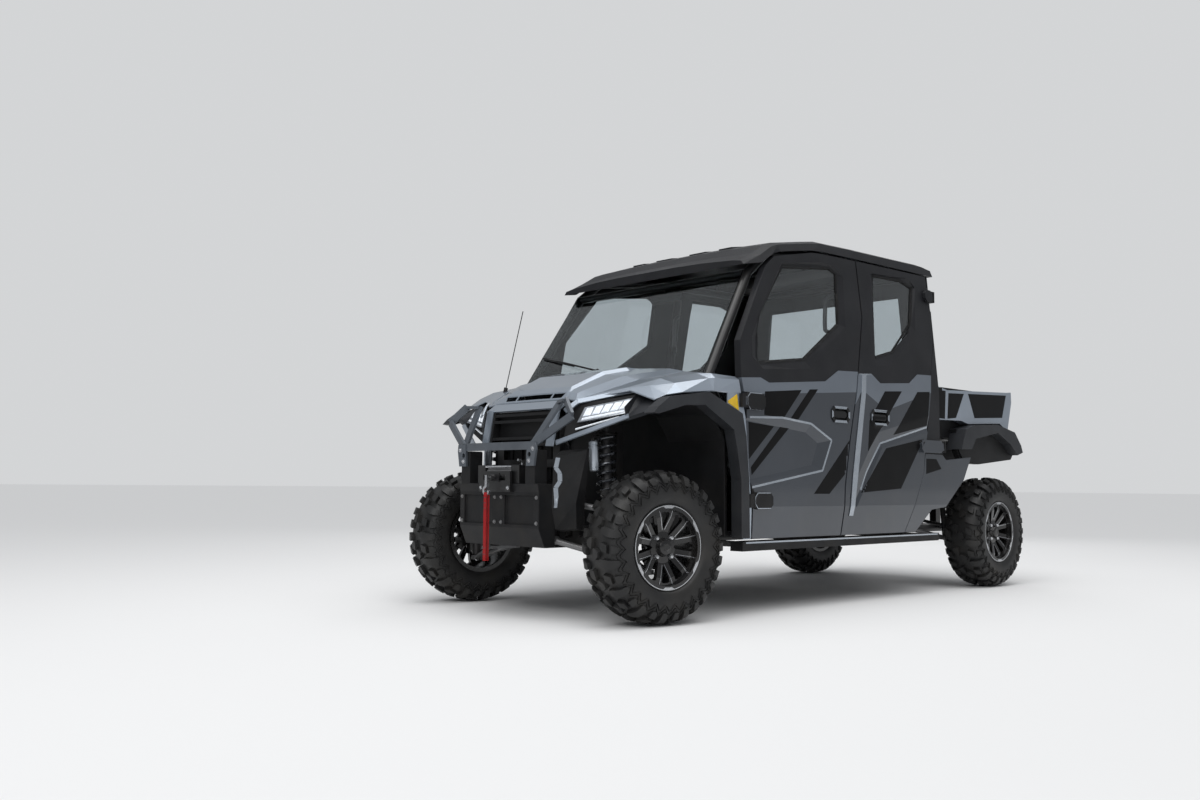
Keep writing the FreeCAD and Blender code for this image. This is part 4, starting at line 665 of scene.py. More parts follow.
def add_lug(bm, columns, height, start, hand, fade=LUG_FADE):
    """A block that follows the carcass, lower towards the rim; its columns cross the tread outwards."""
    rings = []
    last = len(columns) - 1
    for k, (t, low, high) in enumerate(columns):
        slope = LUG_LEAN if k == 0 else -LUG_LEAN if k == last else 0
        top = height * (1 - fade * min(max((t - FADE_START) / FADE_LENGTH, 0), 1))
        corners = ((low, LUG_ROOT, 0), (high, LUG_ROOT, 0), (high - LUG_LEAN, top, slope),
                   (low + LUG_LEAN, top, slope))
        ring = []
        for share, lift, pull in corners:
            y, radius = on_carcass((t + pull) * MM, lift * MM)
            ring.append(bm.verts.new(around(y * hand, radius, start + share * MM * hand)))
        rings.append(ring)
    for a, b in zip(rings, rings[1:]):
        join_rings(bm, a, b)
    bm.faces.new(rings[0])
    bm.faces.new(list(reversed(rings[-1])))


def add_chevron(bm, t0, t1, low, high, start, hand):
    """A narrow V on the sidewall, its point towards the rim."""
    point = (low + high) / 2
    half = CHEVRON_HALF_WIDTH
    for foot in (low, high):
        places = ((t0, foot), ((t0 + t1) / 2, (foot + point) / 2), (t1, point))
        columns = [(t, place - half, place + half) for t, place in places]
        add_lug(bm, columns, CHEVRON_HEIGHT, start, hand, 0)


def make_tyre(end, word, side):
    bm = bmesh.new()
    profile = [(point.x, point.y) for _, point in SECTION]
    ring = profile + [BEAD, (-BEAD[0], BEAD[1])] + [(-y, r) for y, r in reversed(profile[1:])]
    add_turned(bm, (0, 0, 0), (0, 1, 0), ring, 96, closed=True)
    step = 2 * math.pi * PITCH_RADIUS / PITCHES
    for k in range(PITCHES):
        for hand, shift in ((1, 0), (-1, 0.5)):
            start = (k + shift) * step
            for columns, height in LUGS:
                add_lug(bm, columns, height, start, hand)
            for chevron in CHEVRONS:
                add_chevron(bm, *chevron, start, hand)
                add_chevron(bm, *chevron, start + step / 2, hand)
    bm.transform(wheel_place(end, word, side))
    body = "%s_%s_wheel" % (end, word)
    tyre = link_mesh("%s_%s_tread" % (end, word), bm, "rubber", body, 30)
    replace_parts(tyre, "%s_%s_tyre" % (end, word))


def rim_point(radius, degrees, y):
    angle = math.radians(degrees)
    return Vector((radius * math.cos(angle), y, radius * math.sin(angle))) * MM


FORKS = [30 + 60 * k for k in range(6)]
# radius, angle off the fork's middle line, y of each machined strip; then its half width and depth
STRIP = ((80, 4.5, 66.5), (110, 9.0, 75.5), (142, 11.8, 85.2), (170, 13.0, 86.0), (174, 13.0, 105.5))
STRIP_HALF, STRIP_DEPTH = 1.1, 4
# The bright ring at the rim's edge, in mm: inner radius, reach of its lobes, outer radius, y of foot and face
RING_INNER, LOBE_REACH, RING_OUTER, RING_FOOT, RING_FACE = 188.2, 10, 192.5, 104, 107
RING_STEPS = 180
NUT = ((0, 0.0125), (0.012, 0.0125), (0.018, 0.0085), (0.0195, 0.0035))
NUT_CIRCLE, NUT_FOOT = 60, 62
HUB_CAP = ((0.072, 0.038), (0.080, 0.037), (0.086, 0.033), (0.089, 0.026), (0.0895, 0.018), (0.0875, 0.016),
           (0.0875, 0.0001))
VALVE = ((0, 0.004), (0.022, 0.004), (0.024, 0.0055), (0.030, 0.0055), (0.031, 0.003))


def add_edge_ring(bm):
    """The machined ring, thicker over each fork."""
    sections = []
    for k in range(RING_STEPS):
        degrees = 360 * k / RING_STEPS
        away = min(abs((degrees - fork + 180) % 360 - 180) for fork in FORKS)
        lobe = 1 - min(max((away - 6) / 4, 0), 1)
        inner = RING_INNER - LOBE_REACH * lobe * lobe * (3 - 2 * lobe)
        section = ((inner, RING_FOOT), (inner + 0.8, RING_FACE), (RING_OUTER, RING_FACE),
                   (RING_OUTER + 1, RING_FOOT))
        sections.append([bm.verts.new(rim_point(radius, degrees, y)) for radius, y in section])
    for n in range(4):
        for k, section in enumerate(sections):
            after = sections[(k + 1) % RING_STEPS]
            bm.faces.new((section[n], after[n], after[(n + 1) % 4], section[(n + 1) % 4]))


def add_strip(bm, fork, hand):
    """A machined edge along one leg of a forked spoke."""
    low, high = [], []
    for radius, off, y in STRIP:
        half = math.degrees(STRIP_HALF / radius)
        for shift in (-half, half):
            low.append(rim_point(radius, fork + hand * off + shift, y - STRIP_DEPTH))
            high.append(rim_point(radius, fork + hand * off + shift, y))
    for k in range(0, len(low) - 2, 2):
        add_prism(bm, *([line[k], line[k + 1], line[k + 3], line[k + 2]] for line in (low, high)))


def make_rim_trim(end, word, side):
    """Machined ring, bright edges of the forked spokes and nuts; then the cap and the valve."""
    body = "%s_%s_wheel" % (end, word)
    place = wheel_place(end, word, side)
    bm = bmesh.new()
    add_edge_ring(bm)
    for fork in FORKS:
        for hand in (1, -1):
            add_strip(bm, fork, hand)
    for k in range(4):
        add_turned(bm, rim_point(NUT_CIRCLE, 45 + 90 * k, NUT_FOOT), (0, 1, 0), NUT, 6)
    bm.transform(place)
    link_mesh("%s_%s_rim_trim" % (end, word), bm, "machined", body, 30)
    bm = bmesh.new()
    add_turned(bm, (0, 0, 0), (0, 1, 0), HUB_CAP, 40)
    add_turned(bm, rim_point(140, 2, 88), (0, 1, 0), VALVE, 12)
    bm.transform(place)
    link_mesh("%s_%s_hub_cap" % (end, word), bm, "rim_black", body, 30)


for corner in CORNERS:
    make_tyre(*corner)
    make_rim_trim(*corner)


# Springs over dampers on both axles: a pair's place along X and the height of its upper mounts, in metres
SHOCK_PAIRS = ((1.580, 0.960), (-1.570, 0.868))
SHOCK_FOOT_Y, SHOCK_FOOT_Z, SHOCK_TOP_Y = 0.440, 0.312, 0.395
# A coil spring's turns, steps a turn, radius and wire, and its start and end as shares of the shock's length
COIL_TURNS, COIL_STEPS, COIL_RADIUS, COIL_WIRE, COIL_START, COIL_END = 6.5, 20, 0.0435, 0.0072, 0.46, 0.87
RESERVOIR_START, RESERVOIR_OFFSET = 0.60, 0.082
RESERVOIR = ((0, 0.012), (0.004, 0.021), (0.016, 0.0225), (0.018, 0.021), (0.022, 0.0225), (0.118, 0.0225),
             (0.121, 0.020), (0.126, 0.020), (0.128, 0.0225), (0.140, 0.0225), (0.145, 0.018))


def add_shock(coils, dampers, seats, cans, foot, top):
    way = (top - foot).normalized()
    length = (top - foot).length
    across = way.cross(Vector((1, 0, 0))).normalized()
    ahead = across.cross(way)
    low, high = COIL_START * length, COIL_END * length
    line = []
    for k in range(int(COIL_TURNS * COIL_STEPS) + 1):
        share = k / (COIL_TURNS * COIL_STEPS)
        angle = 2 * math.pi * COIL_TURNS * share
        spoke = (ahead * math.cos(angle) + across * math.sin(angle)) * COIL_RADIUS
        line.append(foot + way * (low + (high - low) * share) + spoke)
    add_tube(coils, line, COIL_WIRE, 8)
    damper = ((0.0, 0.012), (0.004, 0.018), (0.38 * length, 0.018), (0.385 * length, 0.0235),
              (0.80 * length, 0.0235), (0.81 * length, 0.020), (length - 0.006, 0.020), (length, 0.012))
    add_turned(dampers, foot, way, damper, 24)
    for start, flip in ((0.445 * length, 1), (0.885 * length, -1)):
        collar = ((0, 0.026), (0, 0.050), (0.005 * flip, 0.053), (0.009 * flip, 0.053), (0.011 * flip, 0.047),
                  (0.013 * flip, 0.028))
        add_turned(seats, foot + way * start, way, collar, 32, closed=True)
    start = RESERVOIR_START * length
    can = foot + way * start + ahead * RESERVOIR_OFFSET
    add_turned(cans, can, way, RESERVOIR, 24)
    neck = [can + way * 0.130, can + way * 0.165, foot + way * (start + 0.185) + ahead * 0.04,
            foot + way * (start + 0.190)]
    add_tube(seats, smooth_line(neck, 5), 0.006, 8)


def make_shocks():
    meshes = [bmesh.new() for _ in range(4)]
    for x, top_z in SHOCK_PAIRS:
        for _, side in SIDES:
            foot = Vector((x, SHOCK_FOOT_Y * side, SHOCK_FOOT_Z))
            add_shock(*meshes, foot, Vector((x, SHOCK_TOP_Y * side, top_z)))
    looks = (("coil_springs", "spring_black"), ("damper_bodies", "cast_metal"),
             ("spring_seats", "frame_black"), ("shock_reservoirs", "bright_trim"))
    for (name, material), bm in zip(looks, meshes):
        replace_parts(link_mesh(name, bm, material, "chassis"), "shock_absorbers")


make_shocks()


# Graphics on the body's sides, and bright lines there that are painted highlights on the doors' recess bevels
# and the rocker's top, as (x, z) outlines and lines in mm
FRONT_GRAPHICS = (
    ((835, 1116), (523, 1144), (680, 988), (841, 997)), ((450, 1152), (377, 1157), (559, 983), (623, 987)),
    ((954, 957), (748, 943), (950, 772)), ((697, 942), (623, 938), (930, 692), (936, 732)),
    ((85, 894), (107, 724), (279, 600), (419, 600)),
)
REAR_GRAPHICS = (
    ((-287, 861), (-702, 929), (-441, 631), (-30, 607)),
    ((-281, 1189), (-464, 1201), (-100, 839), (-118, 1013)),
    ((-638, 1208), (-780, 1218), (-751, 1012), (-374, 941)),
)
BED_GRAPHICS = (
    ((-958, 1268), (-1046, 1262), (-1030, 1056), (-958, 1052)),
    ((-1080, 1232), (-1275, 1240), (-1170, 1080), (-1062, 1070)),
    ((-1330, 1243), (-1850, 1264), (-1790, 1110), (-1410, 1090)),
)
QUARTER_GRAPHIC = (((-738, 812), (-854, 812), (-915, 753), (-734, 720)),)
REFLECTOR = (((1059, 1088), (1136, 1046), (1046, 1008)),)
# Bright lines along the doors' recess bevels and the rocker's top: painted highlights
FRONT_LINE = ((941, 632), (340, 724), (254, 888), (441, 970), (690, 990), (958, 980))
REAR_LINE = ((-30, 622), (-92, 727), (-236, 888), (-751, 1002))
ROCKER_LINE = ((960, 357), (-890, 357))
DOOR_LINE_WIDTH, ROCKER_LINE_WIDTH = 11, 8
# How far each finish stands off the skin under it
LIFTS = {"graphic_black": 0.0006, "bright_trim": 0.0012, "reflector_yellow": 0.003}


def make_graphics():
    front_line, rear_line = (band(line, DOOR_LINE_WIDTH) for line in (FRONT_LINE, REAR_LINE))
    rocker_line = band(ROCKER_LINE, ROCKER_LINE_WIDTH)
    for word, side in SIDES:
        front, rear = "front_%s_door" % word, "rear_%s_door" % word
        # name, outlines, the nodes they lie on, finish, body
        rows = (
            ("front_%s_graphics", FRONT_GRAPHICS, (front,), "graphic_black", front),
            ("rear_%s_graphics", REAR_GRAPHICS, (rear,), "graphic_black", rear),
            ("front_%s_door_line", front_line, (front,), "bright_trim", front),
            ("rear_%s_door_line", rear_line, (rear,), "bright_trim", rear),
            ("%s_bed_graphics", BED_GRAPHICS, ("bed_side_panels",), "graphic_black", "cargo_bed"),
            ("%s_rocker_line", rocker_line, ("rocker_panels",), "bright_trim", "chassis"),
            ("%s_quarter_graphic", QUARTER_GRAPHIC, ("quarter_panels",), "graphic_black", "chassis"),
            ("%s_reflector", REFLECTOR, ("front_fenders", "front_flares"), "reflector_yellow", "chassis"),
        )
        for name, outlines, under, material, body in rows:
            panel(name % word, outlines, under, side, LIFTS[material], material, body)


make_graphics()


# Fasteners, seals and small outlines
def bolts(name, places, radius, material):
    """Hexagonal heads on washers that look ahead, standing on the given places in mm."""
    bm = bmesh.new()
    washer = ((-0.002, radius * 1.35), (0.0012, radius * 1.35), (0.0016, radius * 1.2))
    head = ((0.001, radius), (radius * 0.8, radius), (radius, radius * 0.8))
    for centre in in_metres(places):
        add_turned(bm, centre, (1, 0, 0), washer, 20)
        add_turned(bm, centre, (1, 0, 0), head, 6)
    link_mesh(name, bm, material, "chassis", 30)


def closed(outline):
    return (*outline, outline[0])


def octagon(x0, x1, z0, z1, corner):
    return ((x0 + corner, z0), (x1 - corner, z0), (x1, z0 + corner), (x1, z1 - corner), (x1 - corner, z1),
            (x0 + corner, z1), (x0, z1 - corner), (x0, z0 + corner))


WINDOWS = {
    "front": ((460, 1315), (859, 1265), (831, 1498), (578, 1803), (150, 1855), (85, 1831), (108, 1543)),
    "rear": ((-427, 1433), (-235, 1385), (-276, 1775), (-292, 1876), (-588, 1886), (-714, 1855),
             (-659, 1626)),
}
SEAL_WIDTH, SEAL_LIFT = 14, 0.0016
# Bright edges round the hinge covers are painted highlights
HINGE_COVERS = ((846, 997, 1019, 1100), (787, 938, 527, 604))
COVER_CORNER, COVER_EDGE = 22, 4


def make_door_details():
    edges = []
    for cover in HINGE_COVERS:
        edges += band(closed(octagon(*cover, COVER_CORNER)), COVER_EDGE)
    for word, side in SIDES:
        for end in ENDS:
            door, window = "%s_%s_door" % (end, word), "%s_%s_window" % (end, word)
            seal = band(closed(WINDOWS[end]), SEAL_WIDTH)
            panel(window + "_seal", seal, (door, window), side, SEAL_LIFT, "seal_rubber", door)
        front = "front_%s_door" % word
        panel("%s_hinge_edges" % word, edges, (front,), side, LIFTS["bright_trim"], "bright_trim", front)


make_door_details()


# Lamps: front faces of the lens and its housing, as inner low, inner top, outer top and outer low corners
LENS_FACE = ((1740, 372, 932), (1706, 388, 1006), (1586, 612, 1050), (1656, 610, 970))
HOUSING_FACE = ((1772, 312, 850), (1732, 312, 1018), (1556, 632, 1068), (1640, 632, 948))
BLADES, BLADE_STEP, BLADE_WIDTH = 5, 0.185, 0.165
TAIL_FACE_X, TAIL_Y = -1993, 670
TAIL_LAMP = ((-0.002, 0.014), (0.001, 0.014), (0.003, 0.010), (0.0035, 0.004))


def face_point(face, side, u, v, lift):
    """A point on a four-cornered face: u from inner to outer, v from low to top."""
    inner_low, inner_top, outer_top, outer_low = in_metres(face)
    point = inner_low.lerp(outer_low, u).lerp(inner_top.lerp(outer_top, u), v)
    normal = (outer_low - inner_low).cross(inner_top - inner_low).normalized()
    if normal.x < 0:
        normal = -normal
    point += normal * lift
    return Vector((point.x, point.y * side, point.z))


def add_cell(bm, face, side, cell, high, taper):
    """A raised cell with slanted sides; the cell is its span in u and in v."""
    u0, u1, v0, v1 = cell
    rings = []
    for inset, lift in ((0, -0.003), (taper, high)):
        a, b, c, d = u0 + inset, u1 - inset, v0 + inset, v1 - inset
        rings.append([face_point(face, side, u, v, lift) for u, v in ((a, c), (b, c), (b, d), (a, d))])
    add_prism(bm, *rings)


def make_lamps():
    for word, side in SIDES:
        light = bmesh.new()
        for k in range(BLADES):
            u = 0.045 + BLADE_STEP * k
            add_cell(light, LENS_FACE, side, (u, u + BLADE_WIDTH, 0.36, 0.90), 0.005, 0.035)
        add_cell(light, LENS_FACE, side, (0.05, 0.95, 0.10, 0.27), 0.004, 0.03)
        add_cell(light, HOUSING_FACE, side, (0.16, 0.80, 0.19, 0.235), 0.006, 0.005)
        # The cells glow faintly, a painted highlight on the lens
        link_mesh("%s_lamp_cells" % word, light, "led_white", "chassis")
        back = bmesh.new()
        for centre in in_metres((TAIL_FACE_X, TAIL_Y * side, z) for z in (1085, 1120, 1155)):
            add_turned(back, centre, (-1, 0, 0), TAIL_LAMP, 24)
        link_mesh("%s_tail_cells" % word, back, "lamp_red", "cargo_bed")


make_lamps()


# Winch drum with its rope, the fairlead and bolts at the front
DRUM_X, DRUM_Z, DRUM_RADIUS, DRUM_WIDTH = 1.872, 0.685, 0.0375, 0.188
ROPE_RADIUS, ROPE_TURNS, ROPE_STEPS = 0.0046, 21, 16
TIE_RODS = ((1832, 722), (1912, 722), (1832, 648))
CLUTCH_LEVER = ((1872, 130, 730), (1872, 130, 742), (1880, 130, 750), (1900, 130, 754))
FAIRLEAD_BOLTS = [(1940, y, 620) for y in (-104, 104)]
GUARD_BOLTS = [(1937, y * side, z) for _, side in SIDES for y, z in ((256, 750), (282, 806))]
BUMPER_BOLTS = [(1915, y * side, z) for _, side in SIDES for y in (25, 288) for z in (455, 575)]
POD_STRIP = ((322, 764), (316, 716), (330, 690), (332, 652), (318, 622), (322, 570), (326, 528))
STITCH_ROWS, STITCH_FACES = (300, 330, 520, 545, 570), ((1.9744, 1.9752), (1.9948, 1.9956))
STITCH_HALF_WIDTH, STITCH_HEIGHT = 0.0085, 3


def make_winch_rope():
    rope = bmesh.new()
    line = []
    steps = ROPE_TURNS * ROPE_STEPS
    for k in range(steps + 1):
        angle = 2 * math.pi * k / ROPE_STEPS
        y = DRUM_WIDTH * k / steps - DRUM_WIDTH / 2
        line.append((DRUM_X + DRUM_RADIUS * math.cos(angle), y, DRUM_Z + DRUM_RADIUS * math.sin(angle)))
    add_tube(rope, line, ROPE_RADIUS, 6)
    link_mesh("winch_rope_turns", rope, "arm_grey", "chassis")


def make_front_details():
    rods = bmesh.new()
    for x, z in TIE_RODS:
        add_tube(rods, in_metres(((x, -100, z), (x, 100, z))), 0.006, 12)
    add_tube(rods, smooth_line(in_metres(CLUTCH_LEVER), 4), 0.006, 10)
    link_mesh("winch_tie_rods", rods, "machined", "chassis")
    bolts("fairlead_bolts", FAIRLEAD_BOLTS, 0.007, "machined")
    bolts("guard_bolts", GUARD_BOLTS, 0.008, "machined")
    bolts("bumper_bolts", BUMPER_BOLTS, 0.007, "arm_grey")
    for word, side in SIDES:
        panel("%s_pod_strip" % word, band(POD_STRIP, 15), ("bumper_pods",), side, 0.002, "bright_trim",
              "chassis", "front")
    stitches = bmesh.new()
    half = STITCH_HALF_WIDTH
    for row in STITCH_ROWS:
        for x0, x1 in STITCH_FACES:
            ring = ((x0, -half), (x1, -half), (x1, half), (x0, half))
            add_prism(stitches, *([(x, y, z * MM) for x, y in ring] for z in (row, row + STITCH_HEIGHT)))
    link_mesh("strap_stitching", stitches, "seat_panel", "chassis")


make_winch_rope()
make_front_details()


# Dark plates that close the view behind the winch and inboard of the rear wheels
NOSE_PLATE = ((-290, 640), (290, 640), (290, 800), (240, 850), (-240, 850), (-290, 800))
NOSE_RIB = ((1705, 655), (1712, 660), (1712, 830), (1705, 835))
REAR_LINER = ((-1010, 800), (-1290, 600), (-1330, 720), (-1480, 800), (-1840, 800), (-1840, 944),
              (-1010, 944))
FLARE_LINING = ((-1190, 1010), (-1200, 872), (-1262, 800), (-1480, 792), (-1930, 832), (-1966, 872),
                (-1880, 1010))
# The lining in two layers: its start and end in y, and how far it is drawn in towards the wheel's middle
LINING_LAYERS = ((700, 736, 0), (736, 744, 14))
LINING_MIDDLE = Vector((-1580, 0, 900))


def lining_ring(y, shrink):
    ring = []
    for x, z in FLARE_LINING:
        inward = (LINING_MIDDLE - Vector((x, 0, z))).normalized()
        ring.append((Vector((x, y, z)) + inward * shrink) * MM)
    return ring


def make_liners():
    bm = bmesh.new()
    add_drawn(bm, in_metres((1700, y, z) for y, z in NOSE_PLATE), (0.005, 0, 0))
    for y in (-150, -75, 0, 75, 150):
        add_drawn(bm, in_metres((x, y - 9, z) for x, z in NOSE_RIB), (0, 0.018, 0))
    link_mesh("nose_plate", bm, "moulded_black", "chassis")
    liners, linings = bmesh.new(), bmesh.new()
    for _, side in SIDES:
        add_drawn(liners, in_metres((x, 540 * side, z) for x, z in REAR_LINER), (0, 0.004 * side, 0))
        for y0, y1, shrink in LINING_LAYERS:
            add_prism(linings, *(lining_ring(y * side, shrink) for y in (y0, y1)))
    link_mesh("rear_liners", liners, "moulded_black", "chassis")
    link_mesh("rear_flare_linings", linings, "moulded_black", "cargo_bed")


make_liners()


# Seats: each soft pad is an (x, z) outline drawn out between two y, then filled
FRONT_CUSHION = ((138, 674), (602, 674), (604, 742), (560, 762), (180, 758), (138, 744))
FRONT_BACK = ((118, 700), (104, 820), (16, 1306), (-6, 1322), (-48, 1312), (36, 706))
REAR_CUSHION = ((-750, 728), (-332, 728), (-330, 782), (-370, 802), (-720, 798), (-750, 786))
REAR_BACK = ((-768, 822), (-806, 1306), (-822, 1320), (-842, 1316), (-842, 730), (-772, 730))
SEAT_OUTER, PASSENGER_INNER, DRIVER_INNER = 584, -46, 66
VOXEL = {"front": 0.007, "rear": 0.009}
PAD_ROUNDING, PAD_CAP, PAD_FRAMES, PAD_PRESSURE = 0.016, 0.010, 16, 4
# name, outline, y span, the CAD node it stands for, the way into the pad from its sitting face
PADS = (
    ("front_cushion", FRONT_CUSHION, (-SEAT_OUTER, PASSENGER_INNER), "front_seats", (0, 0, -1)),
    ("front_back", FRONT_BACK, (-SEAT_OUTER, PASSENGER_INNER), "front_seats", (-1, 0, 0)),
    ("rear_cushion", REAR_CUSHION, (-SEAT_OUTER, SEAT_OUTER), "rear_seat", (0, 0, -1)),
    ("rear_back", REAR_BACK, (-SEAT_OUTER, SEAT_OUTER), "rear_seat", (-1, 0, 0)),
)
# The paler middle of each place, as a share of its half width, and where its channels run
PALE_SHARE = 0.62
CHANNELS_ALONG, CHANNELS_ACROSS = (0.19, 0.81), (0.36, 0.68)
CHANNEL_RADIUS, CHANNEL_STEPS, CUSHION_TOP = 0.0026, 40, 760


def block_out(outline, y0, y1):
    bm = bmesh.new()
    add_prism(bm, in_metres((x, y0, z) for x, z in outline), in_metres((x, y1, z) for x, z in outline))
    bmesh.ops.recalc_face_normals(bm, faces=bm.faces)
    bmesh.ops.bevel(bm, geom=list(bm.edges), offset=PAD_ROUNDING, segments=2, affect="EDGES", profile=0.6)
    return bm


def inflate(piece):
    """Where each point of the piece ends when it is filled as cloth under pressure."""
    cloth = piece.modifiers.new("filling", "CLOTH")
    cloth.settings.quality = 3
    cloth.settings.use_pressure = True
    cloth.settings.uniform_pressure_force = PAD_PRESSURE
    cloth.settings.effector_weights.gravity = 0
    cloth.point_cache.frame_start = 1
    cloth.point_cache.frame_end = PAD_FRAMES
    scene = bpy.context.scene
    for number in range(1, PAD_FRAMES + 1):
        scene.frame_set(number)
    depsgraph = bpy.context.evaluated_depsgraph_get()
    filled = piece.evaluated_get(depsgraph).to_mesh()
    moved = [vertex.co.copy() for vertex in filled.vertices]
    piece.evaluated_get(depsgraph).to_mesh_clear()
    piece.modifiers.remove(cloth)
    scene.frame_set(1)
    return moved


def fill_pad(piece):
    """Fills the shape like a cushion: even voxels, then cloth that moves no point past the cap."""
    for other in bpy.context.selected_objects:
        other.select_set(False)
    bpy.context.view_layer.objects.active = piece
    piece.select_set(True)
    remesh = piece.modifiers.new("even_mesh", "REMESH")
    remesh.mode = "VOXEL"
    remesh.voxel_size = VOXEL[piece.name.split("_")[0]]
    bpy.ops.object.modifier_apply(modifier=remesh.name)
    for polygon in piece.data.polygons:
        polygon.use_smooth = True
    rest = [vertex.co.copy() for vertex in piece.data.vertices]
    for vertex, start, end in zip(piece.data.vertices, rest, inflate(piece)):
        shift = end - start
        if shift.length > PAD_CAP:
            shift = shift.normalized() * PAD_CAP
        vertex.co = start + shift


def add_channels(piece, lines, ray):
    """Sewn channels: fine piping laid on the filled pad along the given lines."""
    surface = skin_of(piece)
    ray = Vector(ray)
    bm = bmesh.new()
    for line in lines:
        start, end = in_metres(line)
        run = []
        for k in range(CHANNEL_STEPS + 1):
            point = start.lerp(end, k / CHANNEL_STEPS)
            hit = surface.ray_cast(point - ray * 0.4, ray, 0.8)[0]
            if hit is not None:
                run.append(hit)
        if len(run) > 3:
            add_tube(bm, run, CHANNEL_RADIUS, 8)
    link_mesh(piece.name + "_channels", bm, "seal_rubber", "chassis")


def channel_lines(outline, places, flat):
    """Two lines along and two across each place of a cushion, which lies flat, or of a back."""
    xs, zs = [x for x, _ in outline], [z for _, z in outline]
    back_x = (xs[0] + xs[-1]) / 2
    lines = []
    for low, high in places:
        left, right = (low + (high - low) * share for share in CHANNELS_ALONG)
        for y in (left, right):
            if flat:
                lines.append(((min(xs) + 12, y, CUSHION_TOP), (max(xs) - 12, y, CUSHION_TOP)))
            else:
                lines.append(((back_x, y, min(zs) + 40), (back_x, y, max(zs) - 14)))
        for share in CHANNELS_ACROSS:
            if flat:
                x, z = min(xs) + (max(xs) - min(xs)) * share, CUSHION_TOP
            else:
                x, z = 0, min(zs) + (max(zs) - min(zs)) * share
            lines.append(((x, left, z), (x, right, z)))
    return lines


def places_of(name, low, high):
    """The rear bench has a place on each side, a front seat has one."""
    return ((low, 0), (0, high)) if name.startswith("rear") else ((low, high),)


def driver_copy(piece, low, high):
    """The driver's pad: the passenger's, made narrower and moved over."""
    twin = bpy.data.objects.new("driver_" + piece.name[6:], piece.data.copy())
    bpy.context.scene.collection.objects.link(twin)
    share = (SEAT_OUTER - DRIVER_INNER) / (high - low)
    for vertex in twin.data.vertices:
        vertex.co.y = (DRIVER_INNER + (vertex.co.y / MM - low) * share) * MM
    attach(twin, "chassis")
    return twin


def make_seats():
    """Two front seats and a rear bench."""
    for name, outline, (low, high), node, ray in PADS:
        piece = link_mesh(name, block_out(outline, low, high), "seat_cover", "chassis", 60)
        fill_pad(piece)
        piece.data.materials.append(finish["seat_panel"])
        for polygon in piece.data.polygons:
            facing = -polygon.normal.dot(Vector(ray))
            y = polygon.center.y / MM
            for a, b in places_of(name, low, high):
                if facing > 0.6 and abs(y - (a + b) / 2) < (b - a) / 2 * PALE_SHARE:
                    polygon.material_index = 1
        pads = [(piece, low, high)]
        if name.startswith("front"):
            pads.append((driver_copy(piece, low, high), DRIVER_INNER, SEAT_OUTER))
        for pad, a, b in pads:
            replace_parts(pad, node)
            add_channels(pad, channel_lines(outline, places_of(name, a, b), ray[2] != 0), ray)


make_seats()


# Cab: the dash's screen and vents, mirror, grab handles and the steering wheel's centre
SCREEN = ((899, 262, 1160), (899, 418, 1160), (914, 418, 1112), (914, 262, 1112))
MIRROR = ((-110, 1672), (110, 1672), (125, 1700), (110, 1728), (-110, 1728), (-125, 1700))
MIRROR_STEM = ((715, 0, 1722), (735, 0, 1755), (788, 0, 1760))
GRAB_HANDLE = ((-52, 612, 1740), (-10, 590, 1722), (8, 584, 1690), (16, 584, 1560), (2, 586, 1528),
               (-36, 618, 1512))
WHEEL_HUB, WHEEL_AXIS = Vector((0.790, 0.340, 1.078)), Vector((-0.84, 0, 0.5426)).normalized()
WHEEL_CENTRE = ((0, 0.036), (0.006, 0.036), (0.012, 0.030), (0.014, 0.012))


def make_cab_details():
    screen, vents, mirror, glass, handles, centre = (bmesh.new() for _ in range(6))
    add_drawn(screen, in_metres(SCREEN), (-0.004, 0, -0.001))
    for y in (-500, -420, 520):
        for z in range(1030, 1100, 12):
            x = 915 + (z - 1010) * 45 / 110
            slat = ((x - 3, y - 32, z), (x + 6, y - 32, z), (x + 6, y - 32, z + 5))
            add_drawn(vents, in_metres(slat), (0, 0.064, 0))
    add_drawn(mirror, in_metres((700, y, z) for y, z in MIRROR), (0.022, 0, 0.004))
    add_tube(mirror, in_metres(MIRROR_STEM), 0.009, 10)
    pane = in_metres((699, y * 0.93, 1700 + (z - 1700) * 0.86) for y, z in MIRROR)
    add_drawn(glass, pane, (-0.0015, 0, 0))
    for _, side in SIDES:
        line = in_metres((x, y * side, z) for x, y, z in GRAB_HANDLE)
        add_tube(handles, smooth_line(line, 6), 0.012, 12)
    add_turned(centre, WHEEL_HUB + WHEEL_AXIS * 0.012, WHEEL_AXIS, WHEEL_CENTRE, 32)
    link_mesh("instrument_screen", screen, "graphic_black", "chassis")
    link_mesh("dash_vents", vents, "seal_rubber", "chassis")
    link_mesh("cab_mirror", mirror, "moulded_black", "chassis")
    link_mesh("cab_mirror_glass", glass, "machined", "chassis")
    link_mesh("grab_handles", handles, "arm_grey", "chassis")
    link_mesh("wheel_centre", centre, "graphic_black", "steering_wheel")


make_cab_details()


# Bed: floor ribs and tie loops, in mm
RIB_COUNT, RIB_STEP, RIB_FOOT_Z, RIB_TOP_Z = 9, 130, 984, 989
LOOP_PLACES = [(x, y) for x in (-1900, -1030) for y in (-643, 643)]


